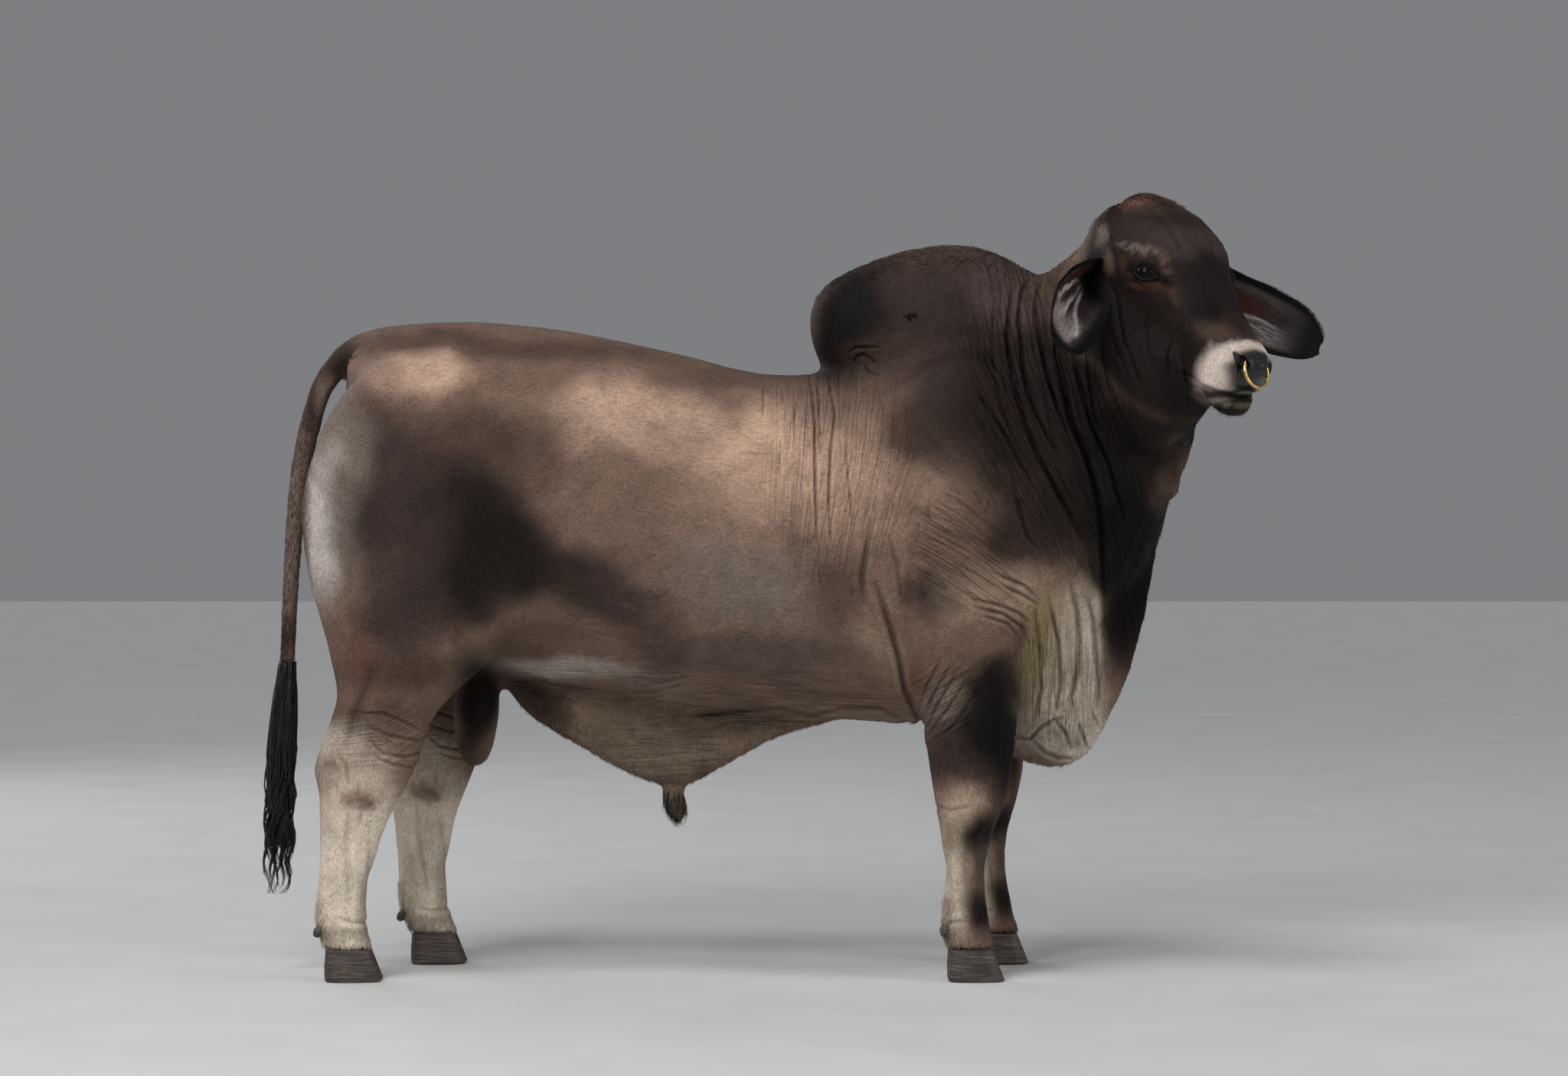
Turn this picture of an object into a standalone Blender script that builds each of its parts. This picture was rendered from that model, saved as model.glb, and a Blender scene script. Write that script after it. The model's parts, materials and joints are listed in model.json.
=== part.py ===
"""A Brahman bull, life size, standing still with its head turned to its right.

Metres, +Z up, +X towards the bull's front and +Y to its left. The floor is z = 0.
The flesh is modelled whole, from overlapping forms that are fused and smoothed, and is then
parted into named nodes by thin cuts. Ears, eyes, tail, hooves and the nose ring are pieces of
their own, each seated on what it grows from with a gap of 0.3 mm.
"""

import math
from typing import NamedTuple

import bmesh
import bpy
import numpy as np
from mathutils import Matrix, Vector

# Driving sizes, in metres. The tables below are heights and places on a bull of this hip height.
HIP_HEIGHT = 1.53
HEAD_LENGTH = 0.553
EAR_LENGTH = 0.415
EAR_THICKNESS = 0.0055
EYE_RADIUS = 0.027
TAIL_TIP_HEIGHT = 0.155
HOOF_HEIGHT = 0.075
RING_RADIUS = 0.036
RING_WIRE = 0.0042
RING_SWING = math.radians(12.0)

# Seams and mesh sizes, in metres.
GAP = 0.0003
SHARP_ANGLE = math.radians(40.0)
VOXEL = 0.008
HEAD_VOXEL = 0.004
FLESH_TRIANGLES = 4500
HEAD_TRIANGLES = 2050
RIGHT, LEFT = -1, 1

# How the two far legs stand ahead of the two near ones, and where the legs begin to shift.
HIND_STEP = 0.175
FORE_STEP = 0.080
HIND_TOP = 1.00
FORE_TOP = 0.90

# The head's own frame: its origin at the poll, u towards the nose, v to the left, w out of the brow.
POLL = Vector((0.800, -0.150, 1.803))
HEAD_YAW = math.radians(-50.5)
HEAD_PITCH = math.radians(38.0)

# Places in the head's frame, on the left side, in metres. The right side mirrors them.
EYE_PLACE = Vector((0.2455, 0.1210, -0.0385))
EYE_OUT = Vector((0.26, 0.89, 0.34)).normalized()
LID_THICKNESS = 0.0040
LID_OPENING = (0.0255, 0.0165)
EAR_PLACE = Vector((0.100, 0.108, -0.122))
EAR_WAY = Vector((0.62, 0.78, -0.05)).normalized()
EAR_LOWER_EDGE = {-1: 1.26, 1: 0.94}
NOSTRIL_PLACE = Vector((0.540, 0.038, -0.070))
NOSTRIL_RADII = (0.030, 0.0105, 0.0145)
WING_RADII = (0.020, 0.013, 0.0055)
RING_TOP = Vector((0.530, 0.000, -0.0553))
MOUTH_CORNER = (0.430, -0.176)
MOUTH_FRONT = (0.560, -0.146)
SNOUT_SEAM = 0.392
HEAD_LEAN = math.radians(-30.0)
HEAD_BACK = -0.018
HEAD_UNDER = -0.262

# The tail's seams and switch.
DOCK_SEAM = 1.352
SWITCH_SEAM = 0.730
SWITCH_LOCKS = 15


class Section(NamedTuple):
    """An upright slice of the barrel or hump across the body."""

    x: float
    top: float
    bottom: float
    half_width: float
    widest: float


class LegRing(NamedTuple):
    """A level slice of a leg, from its back edge to its front edge."""

    height: float
    back: float
    front: float
    side: float
    half_thickness: float


class FaceRing(NamedTuple):
    """A slice of the head across its length, in shares of HEAD_LENGTH."""

    along: float
    brow: float
    jaw: float
    half_width: float


class Fold(NamedTuple):
    """A slice of the dewlap from its root in the neck to its free edge."""

    root_x: float
    root_z: float
    edge_x: float
    edge_z: float
    side: float
    half_root: float
    half_edge: float
    pleat: float


BARREL = (
    Section(-1.03, 1.450, 1.12, 0.085, 1.30),
    Section(-0.96, 1.508, 0.96, 0.165, 1.29),
    Section(-0.86, HIP_HEIGHT - 0.002, 0.83, 0.230, 1.27),
    Section(-0.70, HIP_HEIGHT, 0.72, 0.275, 1.22),
    Section(-0.50, 1.508, 0.670, 0.300, 1.10),
    Section(-0.25, 1.455, 0.628, 0.335, 1.00),
    Section(-0.12, 1.420, 0.615, 0.345, 0.98),
    Section(0.00, 1.405, 0.605, 0.350, 0.97),
    Section(0.20, 1.425, 0.590, 0.340, 0.97),
    Section(0.40, 1.500, 0.580, 0.300, 0.99),
    Section(0.56, 1.540, 0.600, 0.245, 1.02),
    Section(0.68, 1.460, 0.690, 0.180, 1.04),
    Section(0.76, 1.300, 0.820, 0.110, 1.06),
)

HUMP = (
    Section(0.052, 1.560, 1.505, 0.030, 1.53),
    Section(0.075, 1.598, 1.435, 0.075, 1.52),
    Section(0.120, 1.636, 1.390, 0.112, 1.52),
    Section(0.200, 1.672, 1.380, 0.138, 1.50),
    Section(0.300, 1.703, 1.380, 0.152, 1.48),
    Section(0.400, 1.712, 1.380, 0.156, 1.48),
    Section(0.480, 1.697, 1.380, 0.152, 1.48),
    Section(0.550, 1.662, 1.390, 0.142, 1.48),
    Section(0.620, 1.622, 1.400, 0.125, 1.48),
    Section(0.680, 1.600, 1.430, 0.100, 1.50),
)

HIND_LEG = (
    LegRing(1.300, -1.060, -0.640, 0.130, 0.115),
    LegRing(1.140, -1.120, -0.600, 0.150, 0.130),
    LegRing(1.000, -1.116, -0.585, 0.164, 0.132),
    LegRing(0.880, -1.092, -0.590, 0.174, 0.124),
    LegRing(0.790, -1.065, -0.632, 0.184, 0.110),
    LegRing(0.720, -1.048, -0.690, 0.190, 0.096),
    LegRing(0.660, -1.036, -0.765, 0.188, 0.082),
    LegRing(0.600, -1.052, -0.815, 0.183, 0.070),
    LegRing(0.535, -1.080, -0.835, 0.178, 0.058),
    LegRing(0.488, -1.092, -0.852, 0.175, 0.051),
    LegRing(0.440, -1.082, -0.878, 0.173, 0.049),
    LegRing(0.370, -1.080, -0.915, 0.170, 0.044),
    LegRing(0.300, -1.080, -0.942, 0.168, 0.041),
    LegRing(0.220, -1.083, -0.963, 0.168, 0.041),
    LegRing(0.150, -1.086, -0.968, 0.168, 0.047),
    LegRing(0.105, -1.078, -0.962, 0.168, 0.049),
    LegRing(0.065, -1.062, -0.950, 0.168, 0.046),
    LegRing(0.035, -1.050, -0.945, 0.168, 0.036),
)

FORE_LEG = (
    LegRing(1.050, 0.230, 0.520, 0.180, 0.080),
    LegRing(0.900, 0.240, 0.550, 0.195, 0.085),
    LegRing(0.780, 0.258, 0.548, 0.200, 0.086),
    LegRing(0.680, 0.284, 0.540, 0.194, 0.080),
    LegRing(0.600, 0.305, 0.535, 0.187, 0.073),
    LegRing(0.520, 0.322, 0.528, 0.180, 0.065),
    LegRing(0.460, 0.332, 0.518, 0.175, 0.059),
    LegRing(0.410, 0.341, 0.505, 0.172, 0.055),
    LegRing(0.370, 0.348, 0.492, 0.170, 0.053),
    LegRing(0.325, 0.357, 0.474, 0.168, 0.046),
    LegRing(0.260, 0.364, 0.462, 0.166, 0.039),
    LegRing(0.200, 0.363, 0.463, 0.166, 0.041),
    LegRing(0.155, 0.360, 0.470, 0.166, 0.048),
    LegRing(0.110, 0.362, 0.476, 0.166, 0.049),
    LegRing(0.065, 0.376, 0.486, 0.166, 0.046),
    LegRing(0.035, 0.388, 0.488, 0.166, 0.036),
)

SKULL = (
    FaceRing(-0.045, -0.062, -0.290, 0.110),
    FaceRing(0.000, -0.004, -0.350, 0.172),
    FaceRing(0.080, 0.038, -0.390, 0.216),
    FaceRing(0.180, 0.078, -0.412, 0.252),
    FaceRing(0.300, 0.104, -0.418, 0.268),
    FaceRing(0.420, 0.100, -0.405, 0.252),
    FaceRing(0.520, 0.058, -0.385, 0.212),
    FaceRing(0.620, 0.018, -0.360, 0.180),
    FaceRing(0.720, -0.020, -0.336, 0.162),
    FaceRing(0.820, -0.048, -0.320, 0.157),
    FaceRing(0.900, -0.070, -0.305, 0.162),
    FaceRing(0.955, -0.090, -0.292, 0.150),
    FaceRing(0.990, -0.112, -0.276, 0.118),
    FaceRing(1.008, -0.142, -0.246, 0.070),
)

JAW = (
    FaceRing(0.130, -0.200, -0.370, 0.090),
    FaceRing(0.230, -0.200, -0.418, 0.128),
    FaceRing(0.360, -0.200, -0.432, 0.128),
    FaceRing(0.520, -0.200, -0.420, 0.106),
    FaceRing(0.680, -0.200, -0.400, 0.088),
    FaceRing(0.800, -0.200, -0.380, 0.084),
    FaceRing(0.900, -0.220, -0.370, 0.084),
    FaceRing(0.995, -0.240, -0.356, 0.062),
)

DEWLAP = (
    Fold(0.850, 1.450, 0.962, 1.318, -0.350, 0.060, 0.022, 0.000),
    Fold(0.770, 1.410, 0.930, 1.264, -0.250, 0.095, 0.026, 0.000),
    Fold(0.690, 1.300, 0.894, 1.165, -0.150, 0.125, 0.024, 0.006),
    Fold(0.620, 1.180, 0.872, 1.060, -0.085, 0.140, 0.020, 0.012),
    Fold(0.560, 1.050, 0.862, 0.960, -0.055, 0.150, 0.020, 0.018),
    Fold(0.500, 0.920, 0.846, 0.860, -0.035, 0.155, 0.022, 0.022),
    Fold(0.460, 0.820, 0.826, 0.770, -0.020, 0.155, 0.024, 0.024),
    Fold(0.430, 0.750, 0.798, 0.680, -0.010, 0.145, 0.026, 0.024),
    Fold(0.410, 0.700, 0.760, 0.600, 0.000, 0.125, 0.028, 0.020),
    Fold(0.400, 0.660, 0.711, 0.515, 0.000, 0.110, 0.030, 0.014),
    Fold(0.400, 0.640, 0.640, 0.480, 0.000, 0.095, 0.030, 0.008),
    Fold(0.390, 0.640, 0.560, 0.493, 0.000, 0.080, 0.028, 0.004),
)

SHEATH = (
    Section(-0.665, 0.740, 0.672, 0.026, 0.70),
    Section(-0.600, 0.740, 0.595, 0.034, 0.68),
    Section(-0.470, 0.720, 0.518, 0.042, 0.62),
    Section(-0.374, 0.700, 0.463, 0.046, 0.58),
    Section(-0.300, 0.680, 0.440, 0.050, 0.55),
    Section(-0.236, 0.670, 0.437, 0.050, 0.55),
    Section(-0.181, 0.660, 0.459, 0.046, 0.56),
    Section(-0.110, 0.660, 0.502, 0.042, 0.58),
    Section(-0.006, 0.660, 0.555, 0.038, 0.60),
    Section(0.120, 0.650, 0.590, 0.030, 0.62),
)

SCROTUM = (
    LegRing(0.860, -0.770, -0.690, 0.0, 0.045),
    LegRing(0.740, -0.778, -0.678, 0.0, 0.055),
    LegRing(0.640, -0.785, -0.672, 0.0, 0.070),
    LegRing(0.560, -0.782, -0.680, 0.0, 0.076),
    LegRing(0.505, -0.765, -0.697, 0.0, 0.060),
    LegRing(0.482, -0.745, -0.717, 0.0, 0.030),
)


TAIL_HEAD = (
    (-0.860, 0.000, 1.488, 0.034),
    (-0.930, 0.000, 1.493, 0.034),
    (-0.990, 0.000, 1.478, 0.033),
    (-1.045, 0.000, 1.440, 0.031),
    (-1.088, 0.000, 1.380, 0.029),
    (-1.110, 0.000, 1.320, 0.027),
)

TAIL = (
    (-1.0890, 0.000, 1.3800, 0.0275),
    (-1.1120, 0.000, 1.3100, 0.0265),
    (-1.1380, 0.000, 1.2000, 0.0245),
    (-1.1530, 0.000, 1.0800, 0.0225),
    (-1.1630, 0.000, 0.9400, 0.0205),
    (-1.1690, 0.000, 0.8200, 0.0190),
    (-1.1740, 0.000, 0.7050, 0.0185),
)

SWITCH_CORE = (
    (-1.1715, 0.000, 0.7550, 0.0180),
    (-1.1775, 0.000, 0.6600, 0.0200),
    (-1.1830, 0.000, 0.5800, 0.0225),
    (-1.1900, 0.000, 0.4700, 0.0215),
    (-1.1940, 0.000, 0.3400, 0.0130),
)

# How the flesh is parted, in order: a node's name, the corners of its block, and the block's frame
# as a point and a way in the XZ plane.
LEVEL = ((0.0, 0.0, 0.0), (1.0, 0.0))
PARTS = (
    ("right_fore_cannon", (0.15, -0.60, -0.10), (0.66, -0.105, 0.315), LEVEL),
    ("left_fore_cannon", (0.15, 0.105, -0.10), (0.66, 0.60, 0.315), LEVEL),
    ("right_forearm", (0.15, -0.60, 0.20), (0.66, -0.105, 0.700), LEVEL),
    ("left_forearm", (0.15, 0.105, 0.20), (0.66, 0.60, 0.700), LEVEL),
    ("right_hind_cannon", (-1.40, -0.60, -0.10), (-0.50, -0.090, 0.360), LEVEL),
    ("left_hind_cannon", (-1.40, 0.090, -0.10), (-0.50, 0.60, 0.360), LEVEL),
    ("right_gaskin", (-1.40, -0.60, 0.20), (-0.50, -0.090, 0.640), LEVEL),
    ("left_gaskin", (-1.40, 0.090, 0.20), (-0.50, 0.60, 0.640), LEVEL),
    ("scrotum", (-0.88, -0.088, 0.30), (-0.60, 0.088, 0.705), LEVEL),
    ("sheath", (0.00, -0.075, -0.60), (0.84, 0.075, 0.0), ((-0.668, 0.0, 0.700), (0.82, -0.105))),
    ("tail_dock", (-1.40, -0.070, DOCK_SEAM), (-1.042, 0.070, 1.70), LEVEL),
    ("hump", (-0.006, -0.50, 0.0), (0.64, 0.50, 0.50), ((0.036, 0.0, 1.420), (0.575, 0.240))),
    ("neck", (0.0, -0.70, 0.0), (0.70, 0.50, 1.00), ((0.600, 0.0, 1.085), (1.0, -0.043))),
    ("dewlap", (0.0, -0.40, -0.90), (0.70, 0.40, 0.0), ((0.600, 0.0, 1.085), (1.0, -0.043))),
    ("forequarters", (0.10, -0.70, 0.20), (0.90, 0.70, 2.00), LEVEL),
    ("hindquarters", (-1.60, -0.70, 0.20), (-0.560, 0.70, 2.00), LEVEL),
)

# The colour, roughness and metallic value of each node, by a word in its name.
FINISHES = (
    ("hoof", (0.060, 0.050, 0.045), 0.45, 0.0),
    ("dewclaw", (0.045, 0.038, 0.034), 0.50, 0.0),
    ("eye", (0.012, 0.008, 0.006), 0.08, 0.0),
    ("lids", (0.020, 0.015, 0.013), 0.50, 0.0),
    ("nose_ring", (0.720, 0.500, 0.200), 0.25, 1.0),
    ("tail_switch", (0.015, 0.013, 0.012), 0.70, 0.0),
    ("muzzle", (0.420, 0.350, 0.290), 0.70, 0.0),
    ("lower_jaw", (0.110, 0.085, 0.070), 0.75, 0.0),
    ("scrotum", (0.045, 0.035, 0.032), 0.60, 0.0),
    ("sheath", (0.200, 0.150, 0.120), 0.80, 0.0),
    ("ear", (0.040, 0.031, 0.028), 0.80, 0.0),
    ("head", (0.070, 0.048, 0.038), 0.80, 0.0),
    ("hump", (0.030, 0.024, 0.022), 0.85, 0.0),
    ("neck", (0.050, 0.037, 0.031), 0.85, 0.0),
    ("dewlap", (0.140, 0.105, 0.085), 0.80, 0.0),
    ("forequarters", (0.085, 0.060, 0.047), 0.85, 0.0),
    ("cannon", (0.300, 0.240, 0.200), 0.85, 0.0),
    ("gaskin", (0.240, 0.180, 0.145), 0.85, 0.0),
    ("forearm", (0.160, 0.120, 0.100), 0.85, 0.0),
    ("tail", (0.130, 0.100, 0.085), 0.80, 0.0),
    ("", (0.120, 0.085, 0.066), 0.85, 0.0),
)

# Each hoof's claws: height, back and front of the slice, half width. Back and front are from the
# middle of the foot.
CLAW_SPREAD = 0.0246
CLAW = (
    (0.000, -0.056, 0.070, 0.0225),
    (0.004, -0.059, 0.074, 0.0250),
    (0.035, -0.060, 0.062, 0.0240),
    (0.0747, -0.057, 0.046, 0.0215),
)


def clear_scene():
    """Removes the objects that a new file starts with."""
    for obj in list(bpy.data.objects):
        bpy.data.objects.remove(obj, do_unlink=True)


def new_collection(name):
    """Makes a collection in the scene."""
    collection = bpy.data.collections.new(name)
    bpy.context.scene.collection.children.link(collection)
    return collection


def make_material(name, colour, roughness, metallic=0.0):
    """A Principled BSDF of one colour."""
    material = bpy.data.materials.new(name)
    material.use_nodes = True
    shader = material.node_tree.nodes["Principled BSDF"]
    shader.inputs["Base Color"].default_value = (*colour, 1.0)
    shader.inputs["Roughness"].default_value = roughness
    shader.inputs["Metallic"].default_value = metallic
    material.diffuse_color = (*colour, 1.0)
    return material


def mesh_object(name, points, faces, collection):
    """A new object from points and faces."""
    mesh = bpy.data.meshes.new(name)
    mesh.from_pydata([tuple(p) for p in points], [], [tuple(f) for f in faces])
    mesh.update()
    obj = bpy.data.objects.new(name, mesh)
    collection.objects.link(obj)
    return obj


def bake(obj):
    """Applies an object's modifiers and makes its mesh a plain one."""
    bpy.context.view_layer.update()
    graph = bpy.context.evaluated_depsgraph_get()
    mesh = bpy.data.meshes.new_from_object(obj.evaluated_get(graph))
    obj.modifiers.clear()
    obj.data = mesh


def remove(objects):
    """Removes helper objects that have done their work."""
    for obj in objects:
        bpy.data.objects.remove(obj, do_unlink=True)


def spline(rows, count):
    """Rows of numbers carried smoothly through to count rows, by a Catmull-Rom curve."""
    table = np.array(rows, float)
    last = len(table) - 1
    places = np.linspace(0.0, last, count)
    start = np.clip(places.astype(int), 0, last - 1)
    t = (places - start)[:, None]
    before = table[np.clip(start - 1, 0, last)]
    here = table[start]
    after = table[start + 1]
    beyond = table[np.clip(start + 2, 0, last)]
    return 0.5 * (
        2 * here
        + (after - before) * t
        + (2 * before - 5 * here + 4 * after - beyond) * t**2
        + (3 * here - before - 3 * after + beyond) * t**3
    )


def oval(sides, power=2.3):
    """The points of a round-cornered oval of half width 1, as across and up."""
    turn = np.linspace(0.0, 2 * math.pi, sides, endpoint=False)
    across, up = np.sin(turn), np.cos(turn)
    shape = 2.0 / power
    return (
        np.sign(across) * np.abs(across) ** shape,
        np.sign(up) * np.abs(up) ** shape,
    )


def loft(name, rings, collection):
    """A closed skin over rings of points, with a fan at each end."""
    rings = np.asarray(rings, float)
    count, sides = rings.shape[:2]
    points = [*rings.reshape(-1, 3), rings[0].mean(0), rings[-1].mean(0)]
    first, last = count * sides, count * sides + 1
    faces = []
    for i in range(count - 1):
        for j in range(sides):
            k = (j + 1) % sides
            faces.append((i * sides + j, i * sides + k, (i + 1) * sides + k, (i + 1) * sides + j))
    for j in range(sides):
        k = (j + 1) % sides
        faces.append((k, j, first))
        faces.append(((count - 1) * sides + j, (count - 1) * sides + k, last))
    obj = mesh_object(name, points, faces, collection)
    form = bmesh.new()
    form.from_mesh(obj.data)
    bmesh.ops.recalc_face_normals(form, faces=form.faces)
    form.to_mesh(obj.data)
    form.free()
    return obj


def section_loft(name, rows, collection, power=2.3, count=40, sides=28):
    """A form along X from upright sections."""
    across, up = oval(sides, power)
    rings = []
    for x, top, bottom, half_width, widest in spline(rows, count):
        height = np.where(up > 0, top - widest, widest - bottom)
        rings.append(np.stack([np.full(sides, x), across * half_width, widest + up * height], axis=1))
    return loft(name, rings, collection)


def step_at(height, step, step_height):
    """How far ahead a leg that is set forward stands, at a height."""
    return step * min(1.0, max(0.0, 1 - height / step_height)) ** 0.6 if step else 0.0


def leg_loft(name, rows, side, step, step_height, collection, count=44, sides=20):
    """A leg from level slices. A leg that stands ahead shifts forward by step at the floor."""
    across, up = oval(sides, 2.2)
    rings = []
    for height, back, front, out, half_thickness in spline(rows, count):
        shift = step_at(height, step, step_height)
        middle, half = (back + front) / 2 + shift, (front - back) / 2
        ring = np.stack(
            [middle + up * half, side * out + across * half_thickness, np.full(sides, height)], axis=1
        )
        rings.append(ring)
    return loft(name, rings, collection)


def tube_form(name, rows, collection, count=14, sides=14, flat=1.0):
    """A round bar along a path of points with radii. flat is its depth for a width of 1."""
    table = spline(rows, count)
    centres = table[:, :3]
    ways = np.gradient(centres, axis=0)
    turn = np.linspace(0.0, 2 * math.pi, sides, endpoint=False)
    rings = []
    for centre, way, radius in zip(centres, ways, table[:, 3]):
        way = way / np.linalg.norm(way)
        side = np.array((0.0, 1.0, 0.0))
        front = np.cross(side, way)
        front /= np.linalg.norm(front)
        rings.append(
            centre + radius * (np.outer(np.cos(turn), side) + flat * np.outer(np.sin(turn), front))
        )
    return loft(name, rings, collection)


def head_matrix():
    """From the head's own frame, in metres from the poll, to the world."""
    forward = Vector(
        (
            math.cos(HEAD_YAW) * math.cos(HEAD_PITCH),
            math.sin(HEAD_YAW) * math.cos(HEAD_PITCH),
            -math.sin(HEAD_PITCH),
        )
    )
    left = Vector((-math.sin(HEAD_YAW), math.cos(HEAD_YAW), 0.0))
    brow = forward.cross(left)
    matrix = Matrix((forward, left, brow)).transposed().to_4x4()
    matrix.translation = POLL
    return matrix


def face_loft(name, rows, collection, power=2.4, count=30, sides=24, narrow=0.0):
    """A form along the head's length. narrow is how much slimmer its jaw side is."""
    across, up = oval(sides, power)
    rings = []
    for along, brow, jaw, half_width in spline(rows, count) * HEAD_LENGTH:
        middle, half = (brow + jaw) / 2, (brow - jaw) / 2
        width = half_width * (1 + narrow * np.minimum(up, 0.0))
        rings.append(np.stack([np.full(sides, along), across * width, middle + up * half], axis=1))
    obj = loft(name, rings, collection)
    obj.data.transform(head_matrix())
    return obj


def ellipsoid(name, centre, radii, collection, matrix=None, tilt=0.0, segments=24):
    """A ball of three radii, tilted about the Y axis."""
    form = bmesh.new()
    bmesh.ops.create_uvsphere(form, u_segments=segments, v_segments=segments // 2, radius=1.0)
    place = Matrix.Translation(centre) @ Matrix.Rotation(tilt, 4, "Y") @ Matrix.Diagonal((*radii, 1.0))
    form.transform((matrix or Matrix.Identity(4)) @ place)
    mesh = bpy.data.meshes.new(name)
    form.to_mesh(mesh)
    form.free()
    obj = bpy.data.objects.new(name, mesh)
    collection.objects.link(obj)
    return obj


def neck_form(collection, sides=28, count=18):
    """The neck, a bent barrel from the shoulders to the back of the head."""
    rows = (
        (0.400, 0.000, 1.060, 0.420, 0.285),
        (0.540, -0.015, 1.200, 0.400, 0.240),
        (0.655, -0.050, 1.340, 0.330, 0.200),
        (0.740, -0.105, 1.450, 0.255, 0.170),
        (0.810, -0.175, 1.560, 0.205, 0.150),
        (0.850, -0.230, 1.625, 0.165, 0.120),
    )
    across, up = oval(sides, 2.2)
    table = spline(rows, count)
    centres = table[:, :3]
    ways = np.gradient(centres, axis=0)
    rings = []
    for centre, way, (half_height, half_width) in zip(centres, ways, table[:, 3:]):
        way = way / np.linalg.norm(way)
        side = np.cross((0.0, 0.0, 1.0), way)
        side /= np.linalg.norm(side)
        crest = np.cross(way, side)
        rings.append(centre + np.outer(across * half_width, side) + np.outer(up * half_height, crest))
    return loft("neck_form", rings, collection)


def dewlap_form(collection, count=40, sides=18):
    """The pleated skin from the throat to the brisket, thin at its free edge."""
    share = np.linspace(0.0, 1.0, sides)
    rings = []
    for row in spline(DEWLAP, count):
        root, edge = np.array((row[0], row[1])), np.array((row[2], row[3]))
        side, half_root, half_edge, pleat = row[4:]
        half = half_root + (half_edge - half_root) * share**0.7
        half[-1] *= 0.55
        wave = pleat * np.sin(share * 2.6 * 2 * math.pi) * share
        line = root + np.outer(share, edge - root)
        left = np.stack([line[:, 0], side + wave + half, line[:, 1]], axis=1)
        right = np.stack([line[:, 0], side + wave - half, line[:, 1]], axis=1)
        rings.append(np.concatenate([left, right[::-1]]))
    return loft("dewlap_form", rings, collection)


def body_forms(collection):
    """Every form of the trunk, neck and legs, overlapping."""
    forms = [
        section_loft("barrel", BARREL, collection, 2.35),
        section_loft("hump_form", HUMP, collection, 2.3),
        section_loft("sheath_form", SHEATH, collection, 2.2, count=30, sides=16),
        neck_form(collection),
        dewlap_form(collection),
        leg_loft("scrotum_form", SCROTUM, 1, 0.0, 1.0, collection, count=20),
        ellipsoid("throat_flap", (0.890, -0.190, 1.220), (0.042, 0.036, 0.120), collection, tilt=0.33),
        ellipsoid("throat_bulb", (0.871, -0.180, 1.148), (0.040, 0.036, 0.046), collection),
        ellipsoid("prepuce", (-0.262, 0.000, 0.400), (0.030, 0.030, 0.052), collection, tilt=-0.30),
        ellipsoid("brisket_bag", (0.580, 0.000, 0.640), (0.170, 0.092, 0.145), collection, tilt=0.15),
        ellipsoid("chest", (0.520, 0.000, 0.880), (0.170, 0.205, 0.270), collection, tilt=0.10),
        tube_form("tail_head", TAIL_HEAD, collection),
    ]
    for side in (RIGHT, LEFT):
        ahead = side == LEFT
        forms += [
            leg_loft("hind_leg", HIND_LEG, side, HIND_STEP if ahead else 0.0, HIND_TOP, collection),
            leg_loft("fore_leg", FORE_LEG, side, FORE_STEP if ahead else 0.0, FORE_TOP, collection),
            ellipsoid("haunch", (-0.84, side * 0.165, 1.150), (0.265, 0.150, 0.320), collection, tilt=0.20),
            ellipsoid("hook_bone", (-0.62, side * 0.170, 1.375), (0.150, 0.080, 0.085), collection),
            ellipsoid("shoulder", (0.375, side * 0.195, 1.060), (0.210, 0.120, 0.400), collection, tilt=0.12),
            ellipsoid("upper_arm", (0.400, side * 0.225, 0.850), (0.155, 0.075, 0.160), collection),
            ellipsoid("shoulder_point", (0.520, side * 0.170, 0.900), (0.095, 0.095, 0.150), collection),
            ellipsoid("elbow", (0.290, side * 0.225, 0.760), (0.055, 0.045, 0.075), collection),
        ]
    return forms


def head_forms(collection):
    """Every form of the head, in the head's own frame."""
    place = head_matrix()
    forms = [
        face_loft("skull", SKULL, collection, narrow=0.20),
        face_loft("jaw", JAW, collection, power=2.2),
        ellipsoid("forehead", (0.160, 0.0, 0.018), (0.155, 0.118, 0.046), collection, place),
        ellipsoid("nose", (0.524, 0.0, -0.088), (0.038, 0.066, 0.048), collection, place),
        ellipsoid("chin", (0.530, 0.0, -0.176), (0.052, 0.057, 0.036), collection, place),
        ellipsoid("throat", (0.850, -0.265, 1.390), (0.115, 0.115, 0.180), collection, tilt=0.25),
    ]
    for side in (RIGHT, LEFT):
        forms += [
            ellipsoid("cheek", (0.185, side * 0.084, -0.142), (0.120, 0.048, 0.095), collection, place),
            ellipsoid("orbit", (0.242, side * 0.106, -0.042), (0.070, 0.036, 0.052), collection, place),
            ellipsoid("brow_ridge", (0.225, side * 0.104, 0.000), (0.064, 0.034, 0.032), collection, place),
            ellipsoid("low_cheek", (0.345, side * 0.052, -0.178), (0.110, 0.040, 0.048), collection, place),
            ellipsoid("upper_lip", (0.490, side * 0.056, -0.124), (0.062, 0.042, 0.044), collection, place),
            ellipsoid("mouth_corner", (0.412, side * 0.050, -0.142), (0.075, 0.032, 0.042), collection, place),
            ellipsoid("ear_root", (0.088, side * 0.102, -0.124), (0.048, 0.036, 0.046), collection, place),
        ]
    return forms


def fuse(forms, name, collection, voxel):
    """Joins overlapping closed forms into one closed skin."""
    points, faces = [], []
    for form in forms:
        start = len(points)
        points += [form.matrix_world @ v.co for v in form.data.vertices]
        faces += [[start + i for i in p.vertices] for p in form.data.polygons]
    remove(forms)
    obj = mesh_object(name, points, faces, collection)
    remesh = obj.modifiers.new("Remesh", "REMESH")
    remesh.mode = "VOXEL"
    remesh.voxel_size = voxel
    bake(obj)
    return obj


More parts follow.
